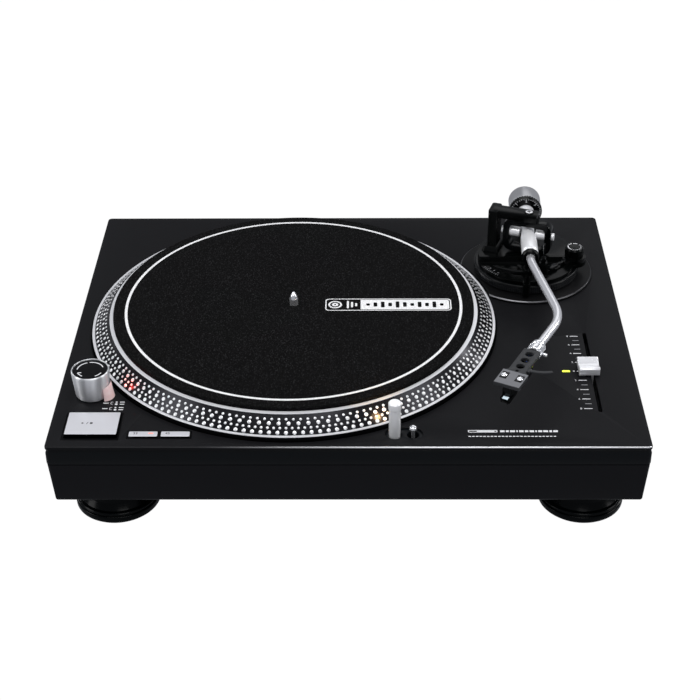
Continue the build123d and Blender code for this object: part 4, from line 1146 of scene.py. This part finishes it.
makeFaderCap(fader)

scale = dict(
    first=-26.1, pitch=12.6375, longMark=(179.6, 186.0), shortMark=(181.1, 186.0), numberX=177.4,
    numberSize=3.0, numbers="864202468"
)


def makeScale(s):
    top = deckTop + 0.02
    longLeft, longRight = s["longMark"]
    shortLeft, shortRight = s["shortMark"]
    bars = [
        rowOf(
"Bar",
printWhite,
count=9,
centre=((longLeft + longRight) / 2, s["first"], top),
along=(0, -s["pitch"], 0),
size=(longRight - longLeft, 0.75, 0.06),
),
    ]
    fine = rowOf(
"Bar",
printGrey,
count=8,
centre=((shortLeft + shortRight) / 2, s["first"] - s["pitch"] / 2, top),
along=(0, -s["pitch"], 0),
size=(shortRight - shortLeft, 0.6, 0.06),
)
    for i, number in enumerate(s["numbers"]):
        place = at(s["numberX"], s["first"] - i * s["pitch"], deckTop)
        bars.append(words(number, s["numberSize"], place))
    printOn("pitchNumbers", "root", printWhite, bars)
    printOn("pitchFineMarks", "root", printGrey, [fine])


makeScale(scale)
pitchLamp = dict(centre=(171.2, -76.8), width=6.2, length=2.1)
addPiece(
    "pitchLamp",
    prism(
        rectangle(pitchLamp["centre"], pitchLamp["width"], pitchLamp["length"]), deckTop - 0.2,
        deckTop + 0.35, 0.15, corner=0.9
    ),
    lampGreen, "root"
)
deckMark = dict(
    left=89.5, y=-156.2, badge=22.0, widths=(3.4, 2.2, 3.8, 1.2, 3.4, 2.6, 3.4, 1.2, 3.0, 3.6, 2.0, 3.4),
    gap=0.9, height=2.9, stripY=-162.6, strip=66.0, dashes=24
)


def makeDeckMark(m):
    # an unlettered mark: an outlined bar, blocks of uneven width and a dashed line
    low, high = deckTop - 0.02, deckTop + 0.05
    left, half = m["left"], m["height"] / 2
    marks = [
        frameBand(((left, m["y"] - half), (left + m["badge"], m["y"] + half)), 0.7, 0.9, low, high),
        prism(rectangle((left + m["badge"] * 0.6, m["y"]), m["badge"] * 0.6, 1.1), low, high)
    ]
    x = left + m["badge"] + 2.0
    for width in m["widths"]:
        marks.append(prism(rectangle((x + width / 2, m["y"]), width, m["height"] * 0.8), low, high))
        x += width + m["gap"]
    marks.append(
        rowOf(
"Bar",
printWhite,
count=m["dashes"],
centre=(left + 1, m["stripY"], deckTop + 0.02),
along=(m["strip"] / m["dashes"], 0, 0),
size=(m["strip"] / m["dashes"] * 0.7, 1.0, 0.06),
)
    )
    printOn("deckMark", "root", printWhite, marks)


makeDeckMark(deckMark)
print("right controls are made")

# tonearm base

armParts = {
    # piece: node, softened edge, finish, slot
    "armDisc": ("tonearm_disc", 0.25, discPaint, "black_metal"),
    "armSleeve": ("tonearm_sleeve", 0.3, ringBlack, "black_metal"),
    "armBoard": ("arm_board", 0.7, armBlack, "black_plastic"),
    "heightRing": ("height_ring", 0.5, ringBlack, "black_plastic"),
    "gimbalRing": ("gimbal_ring", 1.2, glossBlack, "black_metal"),
    "armRest": ("arm_rest", 0.5, armBlack, "black_plastic"),
    "armClip": ("arm_clip", 0.3, armBlack, "black_plastic"),
    "armLifter": ("arm_lifter", 0.4, armBlack, "black_metal"),
    "lockLever": ("height_lock_lever", 0.5, armBlack, "black_plastic"),
    "cueLever": ("cue_lever", 0.3, glossBlack, "chrome"),
}
for name, (node, edge, finish, slot) in armParts.items():
    standIn(name, node, copyOf(node, edge, 35, 3), finish)

# the arm disc's outer rim carries a painted highlight
paintEdgeHighlight(
    bpy.data.objects["armDisc"], discPaintedHighlight, highOf("tonearm_disc").z - 0.7,
    lambda face: (face.center - pivot * mm).to_2d().length > 0.0555
)
standIn(
"gimbalBracket",
"gimbal_bracket",
grown(copyOf("gimbal_bracket", 0), 0.9, 0.9),
armBlack,
)
bearingTop = highOf("gimbal_bracket").z + 0.95
bearingScrew = dict(radius=3.1, slot=0.9)


def makeBearingScrew(b):
    low, top = bearingTop - 0.9, bearingTop + 0.02
    profile = [(0, low), (b["radius"], low), (b["radius"], top, 0.35), (0, top)]
    place = at(pivot.x, pivot.y, 0)
    addPiece("bearingScrew", lathe(profile, standOf(pivot), steps=40), tubeSilver, "arm_base")
    cross = [
        prism(rectangle((0, 0), *size), top - 0.05, top + 0.03, place=place)
        for size in ((3.8, b["slot"]), (b["slot"], 3.8))
    ]
    addPiece("bearingScrewCross", joined(*cross), glossBlack, "arm_base")


makeBearingScrew(bearingScrew)
ringLow, ringHigh = lowOf("height_ring").z, highOf("height_ring").z
ribs = dict(count=160, radius=44.75, width=0.85, depth=0.5)
# ribs in a lighter black: painted highlight on the knurl
addPiece(
    "heightRingRibs",
    rowOf(
"Bar",
ribBlackHighlight,
count=ribs["count"],
centre=(pivot.x, pivot.y, (ringLow + ringHigh) / 2 - 0.2),
radius=ribs["radius"],
step=360 / ribs["count"],
size=(ribs["depth"], ribs["width"], ringHigh - ringLow - 1.9),
),
    ribBlackHighlight,
    "height_ring",
)

antiSkate = middleOf("anti_skate_knob")
skateLow, skateTop = lowOf("anti_skate_knob").z, highOf("anti_skate_knob").z
skate = dict(radius=8.0, ribs=48)


def makeAntiSkate(s):
    r = s["radius"]
    profile = [
        (0, skateLow, 0), (r - 0.5, skateLow, 0.3), (r - 0.2, skateTop - 1.4, 0.4),
        (r - 0.9, skateTop - 0.3, 0.5), (r - 1.4, skateTop, 0.3), (r - 3.2, skateTop, 0.2),
        (r - 3.6, skateTop - 0.25, 0.2), (0, skateTop - 0.25, 0)
    ]
    standIn(
"antiSkateKnob",
"anti_skate_knob",
lathe(profile, standOf(antiSkate), steps=72),
armBlack,
)
    ribMesh = rowOf(
"Bar",
armBlack,
count=s["ribs"],
centre=(antiSkate.x, antiSkate.y, (skateLow + skateTop) / 2 - 0.4),
radius=r - 0.2,
step=360 / s["ribs"],
size=(0.45, 0.45, skateTop - skateLow - 2.6),
)
    addPiece("antiSkateRibs", ribMesh, armBlack, "anti_skate")
    place = at(antiSkate.x, antiSkate.y, 0)
    low, high = skateTop - 0.02, skateTop + 0.05
    marks = [prism(arcBand(5.1, 5.9, a, a + 38), low, high, place=place) for a in (60, 110, 160, 200)]
    marks.append(
        rowOf(
"Bar",
printWhite,
count=9,
centre=(antiSkate.x, antiSkate.y, skateTop + 0.01),
radius=5.6,
start=-110,
step=18,
size=(1.5, 0.4, 0.08),
)
    )
    addPiece("antiSkatePrint", joined(*marks), printWhite, "anti_skate")


makeAntiSkate(skate)

heightScale = dict(heading=-150.0, radius=37.2, size=2.5, numbers="654", step=7.5)


def makeHeightScale(s):
    marks = []
    top = 93.0
    for i, number in enumerate(s["numbers"]):
        heading = math.radians(s["heading"] + i * s["step"])
        spot = Vector(
            (pivot.x + s["radius"] * math.cos(heading), pivot.y + s["radius"] * math.sin(heading), top)
        )
        place = Matrix.Translation(spot * mm) @ Matrix.Rotation(heading + math.pi / 2, 4, "Z")
        marks.append(words(number, s["size"], place))
    marks.append(
        rowOf(
"Bar",
printWhite,
count=9,
centre=(pivot.x, pivot.y, top + 0.02),
radius=40.2,
start=s["heading"] - 6,
step=3.0,
size=(1.5, 0.3, 0.06),
)
    )
    printOn("heightPrint", "arm_base", printGrey, marks)


makeHeightScale(heightScale)
print("tonearm base is made")

# tonearm

forward = -rearward
pins = dict(radius=4.2, cap=3.3)
pitchAxis = Vector(joints["arm_tilt"]["axis"]).normalized()


def makePitchPins(p):
    low, high = lowOf("pitch_pivots") - pivot, highOf("pitch_pivots") - pivot
    reach = min(abs(high.x), abs(low.x)) - 0.4
    inner = 6.9
    profile = [
        (0, inner), (p["radius"], inner, 0.2), (p["radius"], reach - 4.6, 0.4),
        (p["cap"], reach - 4.4, 0.2), (p["cap"], reach, 0.4), (0, reach)
    ]
    pair = [lathe(profile, pivot, pitchAxis * side, 40) for side in (-1, 1)]
    standIn("pitchPivots", "pitch_pivots", joined(*pair), satinSteel)


makePitchPins(pins)
barrel = [
    (0, -66.0, 0), (4.4, -66.0, 0.4), (5.0, -65.2, 0.4), (5.0, -8.0, 0.4), (5.6, -7.0, 0.5),
    (5.7, 3.0, 3.0), (6.7, 9.5, 6.0), (7.0, 17.0, 6.0), (7.0, 34.0, 2.0), (6.3, 36.4, 0.8),
    (5.5, 36.8, 0.3), (5.4, 42.0, 0.3), (3.6, 42.6, 0.2), (0, 42.6, 0)
]
standIn("armBarrel", "arm_barrel", lathe(barrel, pivot, forward, 96), satinSteel)
collarRing = [
    (5.3, 37.6), (6.6, 37.6, 0.5), (7.3, 39.2, 0.6), (7.3, 41.8, 0.6), (6.2, 43.0, 0.6), (3.6, 43.0)
]
addPiece("barrelCollar", lathe(collarRing, pivot, forward, 72), glossBlack, "arm")

armTube = dict(start=30.0, bends=((151.0, 31.1), (167.0, -55.2)), radii=(60.0, 48.0), radius=3.5)
tubePath = bentPath(
    [pivot + forward * armTube["start"]]
    + [Vector((x, y, pivot.z)) for x, y in armTube["bends"]]
    + [tubeEnd],
    armTube["radii"],
    26,
)
standIn("armTube", "arm_tube", tubeMesh(tubePath, armTube["radius"], 10), tubeSilver, 60)

shellCollar = [
    (4.1, -2.0, 0), (5.2, -2.0, 0.4), (5.9, -1.2, 0.4), (5.9, 2.0, 0.4), (5.3, 2.4, 0.2), (5.3, 3.4, 0.2),
    (5.9, 3.8, 0.4), (5.9, 9.6, 0.5), (5.2, 10.4, 0.3), (4.1, 10.4, 0)
]
standIn(
"shellCollar",
"headshell_collar",
lathe(shellCollar, tubeEnd, shellDirection, 72),
chrome,
)
collarRibs = rowOf(
"Bar",
chrome,
place=frameAlong(tubeEnd * mm, shellDirection) @ Matrix.Rotation(math.pi / 2, 4, "Y"),
count=40,
centre=(0, 0, 6.6),
radius=5.85,
step=9,
size=(0.4, 0.4, 4.4),
)
addPiece("collarRibs", collarRibs, chrome, "collar")
lockPin = lathe(
    [(0, 0), (1.1, 0), (1.1, 6.4), (1.6, 7.0), (1.6, 9.2), (0, 9.6)],
    tubeEnd + shellDirection * 4.5 - Vector((0, 0, 1)) * 1.0,
    shellDirection.cross(Vector((0, 0, 1))) * -1.0 + Vector((0, 0, -0.2)), 24
)
addPiece("collarPin", lockPin, chrome, "collar")

shellParts = {
    "headShell": ("headshell", 0.45, shellBlack, "black_metal"),
    "fingerLift": ("finger_lift", 0.3, shellBlack, "black_metal"),
    "stylusBody": ("stylus", 0.25, armBlack, "gloss_black"),
}
for name, (node, edge, finish, slot) in shellParts.items():
    standIn(name, node, copyOf(node, edge), finish)

shellTop = highOf("headshell").z - pivot.z
cartridge = dict(rear=24.0, front=61.5, width=11.5, nose=7.0, top=-2.85, bottom=-11.9)


def makeCartridge(c):
    # a body under the shell that narrows to a nose
    half, nose = c["width"] / 2, c["nose"] / 2
    outline = [
        (c["rear"], -half), (c["front"] - 12, -half), (c["front"] - 3, -nose), (c["front"], -nose),
        (c["front"], nose), (c["front"] - 3, nose), (c["front"] - 12, half), (c["rear"], half)
    ]
    mesh = prism(outline, shellTop + c["bottom"], shellTop + c["top"], 0.5, shellFrame)
    standIn("cartridgeBody", "cartridge", mesh, glossBlack)


makeCartridge(cartridge)
shellPlate = dict(rear=44.8, front=63.2, width=19.8, slotX=(47.6, 56.6), slotY=6.0, slotWidth=5.6)


def makeShellPlate(s):
    # a thin bright cover with two open slots, laid on the front of the shell
    half = s["width"] / 2
    inner, outer = s["slotY"] - s["slotWidth"] / 2, s["slotY"] + s["slotWidth"] / 2
    x0, x1 = s["slotX"]
    low, high = shellTop - 0.05, shellTop + 0.22
    blocks = [
        rectangle(((s["rear"] + x0) / 2, 0), x0 - s["rear"], s["width"]),
        rectangle(((x1 + s["front"]) / 2, 0), s["front"] - x1, s["width"]),
        rectangle(((x0 + x1) / 2, 0), x1 - x0, 2 * inner),
        rectangle(((x0 + x1) / 2, (outer + half) / 2), x1 - x0, half - outer),
        rectangle(((x0 + x1) / 2, -(outer + half) / 2), x1 - x0, half - outer)
    ]
    parts = [prism(block, low, high, 0, shellFrame) for block in blocks]
    addPiece("shellPlate", joined(*parts), shellPlateGrey, "arm")
    # black sheets in the two open slots: painted shade for the dark seen through them
    slotShades = [
        prism(
            rectangle(((x0 + x1) / 2, side * s["slotY"]), x1 - x0, s["slotWidth"]), low - 0.1, low + 0.08,
            0, shellFrame
        ) for side in (-1, 1)
    ]
    addPiece("shellSlotShade", joined(*slotShades), glossBlack, "arm")


makeShellPlate(shellPlate)
shellScrew = dict(along=52.5, across=6.35, head=2.35, shank=1.2)


def makeShellScrews(c):
    top = shellTop + 1.5
    profile = [
        (0, shellTop - 9.0), (c["shank"], shellTop - 9.0), (c["shank"], top - 1.4, 0.1),
        (c["head"], top - 1.4, 0.2), (c["head"], top - 0.5, 0.4), (1.2, top, 0.3), (0.9, top - 0.3, 0.1),
        (0, top - 0.3)
    ]
    pair = [
        lathe(profile, shellFrame @ (Vector((c["along"], side * c["across"], 0)) * mm) / mm, steps=32)
        for side in (-1, 1)
    ]
    standIn("shellScrews", "headshell_screws", joined(*pair), chrome)


makeShellScrews(shellScrew)
stylusFront = dict(x=63.0, width=4.4)
# the pale stripe on the stylus front glows: painted light, not a lamp
addPiece(
    "stylusStripe",
    prism(
        rectangle((stylusFront["x"], 0), 3.2, stylusFront["width"]), shellTop - 2.8 - 9.3,
        shellTop - 2.8 - 8.95, 0, shellFrame
    ),
    stripePaintedGlow, "arm"
)


def makeLeads():
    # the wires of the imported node, one colour each from side to side
    shape = bmesh.new()
    shape.from_mesh(nodeObjects["lead_wires"].data)
    bmesh.ops.remove_doubles(shape, verts=shape.verts, dist=0.002 * mm)
    inward = shellFrame.inverted()
    unseen = set(shape.faces)
    wires = []
    while unseen:
        stack = [unseen.pop()]
        wire = []
        while stack:
            face = stack.pop()
            wire.append(face)
            for edge in face.edges:
                for beside in edge.link_faces:
                    if beside in unseen:
                        unseen.remove(beside)
                        stack.append(beside)
        wires.append(wire)
    wires.sort(key=lambda wire: (inward @ wire[0].calc_center_median()).y)
    for i, wire in enumerate(wires):
        for face in wire:
            face.material_index = i
    standIn("leadWires", "lead_wires", toMesh(shape), leadFinishes, 60)


makeLeads()
print("tonearm is made")

# counterweight

weight = dict(
    body=[
        (7.75, 42.0, 0.2), (13.2, 42.0, 0.6), (14.0, 42.9, 0.6), (14.0, 59.8, 0.8), (12.9, 61.0, 0.8),
        (10.0, 61.0, 0.4), (9.4, 59.6, 0.4), (7.75, 59.6, 0.2)
    ],
    ring=[
        (7.75, 41.7, 0.1), (14.4, 41.7, 0.2), (14.5, 41.2, 0.2), (14.5, 38.4, 0.5), (13.2, 36.6, 0.5),
        (7.75, 36.5, 0.2)
    ],
    ticks=40
)
standIn("weightSleeve", "weight_sleeve", copyOf("weight_sleeve", 0.3), satinSteel)
standIn(
"counterWeight",
"counterweight",
lathe(weight["body"], pivot, rearward, 128),
weightSteel,
)
standIn(
"forceDial",
"force_ring",
lathe(weight["ring"], pivot, rearward, 128),
glossBlack,
)


def makeForcePrint(w):
    # ticks on the dial's outer face and its front, with numbers between them
    about = Matrix.Translation(pivot * mm) @ rearward.to_track_quat("Z", "Y").to_matrix().to_4x4()
    parts = [
        rowOf(
"Bar",
printWhite,
place=about,
count=w["ticks"],
centre=(0, 0, 40.6),
radius=14.5,
step=360 / w["ticks"],
size=(0.1, 0.35, 1.5),
)
    ]
    for i in range(8):
        heading = turn * i / 8
        spot = Vector((11.2 * math.cos(heading), 11.2 * math.sin(heading), 36.5))
        flip = Matrix.Rotation(math.pi, 4, "Y")
        place = (
            about @ Matrix.Translation(spot * mm) @ Matrix.Rotation(heading - math.pi / 2, 4, "Z") @ flip
        )
        parts.append(words(str(i * 5 % 40 // 5), 3.4, place))
    parts.append(
        rowOf(
"Bar",
printWhite,
place=about,
count=w["ticks"],
centre=(0, 0, 36.55),
radius=13.0,
step=360 / w["ticks"],
size=(1.2, 0.3, 0.1),
)
    )
    addPiece("forcePrint", joined(*parts), printWhite, "force_ring")


makeForcePrint(weight)
print("counterweight is made")

# what stays as packed, inside the case

insideFinishes = {
    "motor_board": boardGreen,
    "main_board": boardGreen,
    "bearing_housing": brass,
    "motor_stator": hiddenMetal,
    "motor_coils": coilCopper,
    "rotor_cup": hiddenMetal,
    "rotor_magnet": magnetGrey,
    "power_transformer": hiddenMetal,
    "pitch_fader_body": hiddenPlastic,
}
for node, finish in insideFinishes.items():
    data = nodeObjects[node].data
    if not data.materials:
        data.materials.append(finish.material)
    for i in range(len(data.materials)):
        data.materials[i] = finish.material
print("inside is painted")

print("sizes are written")
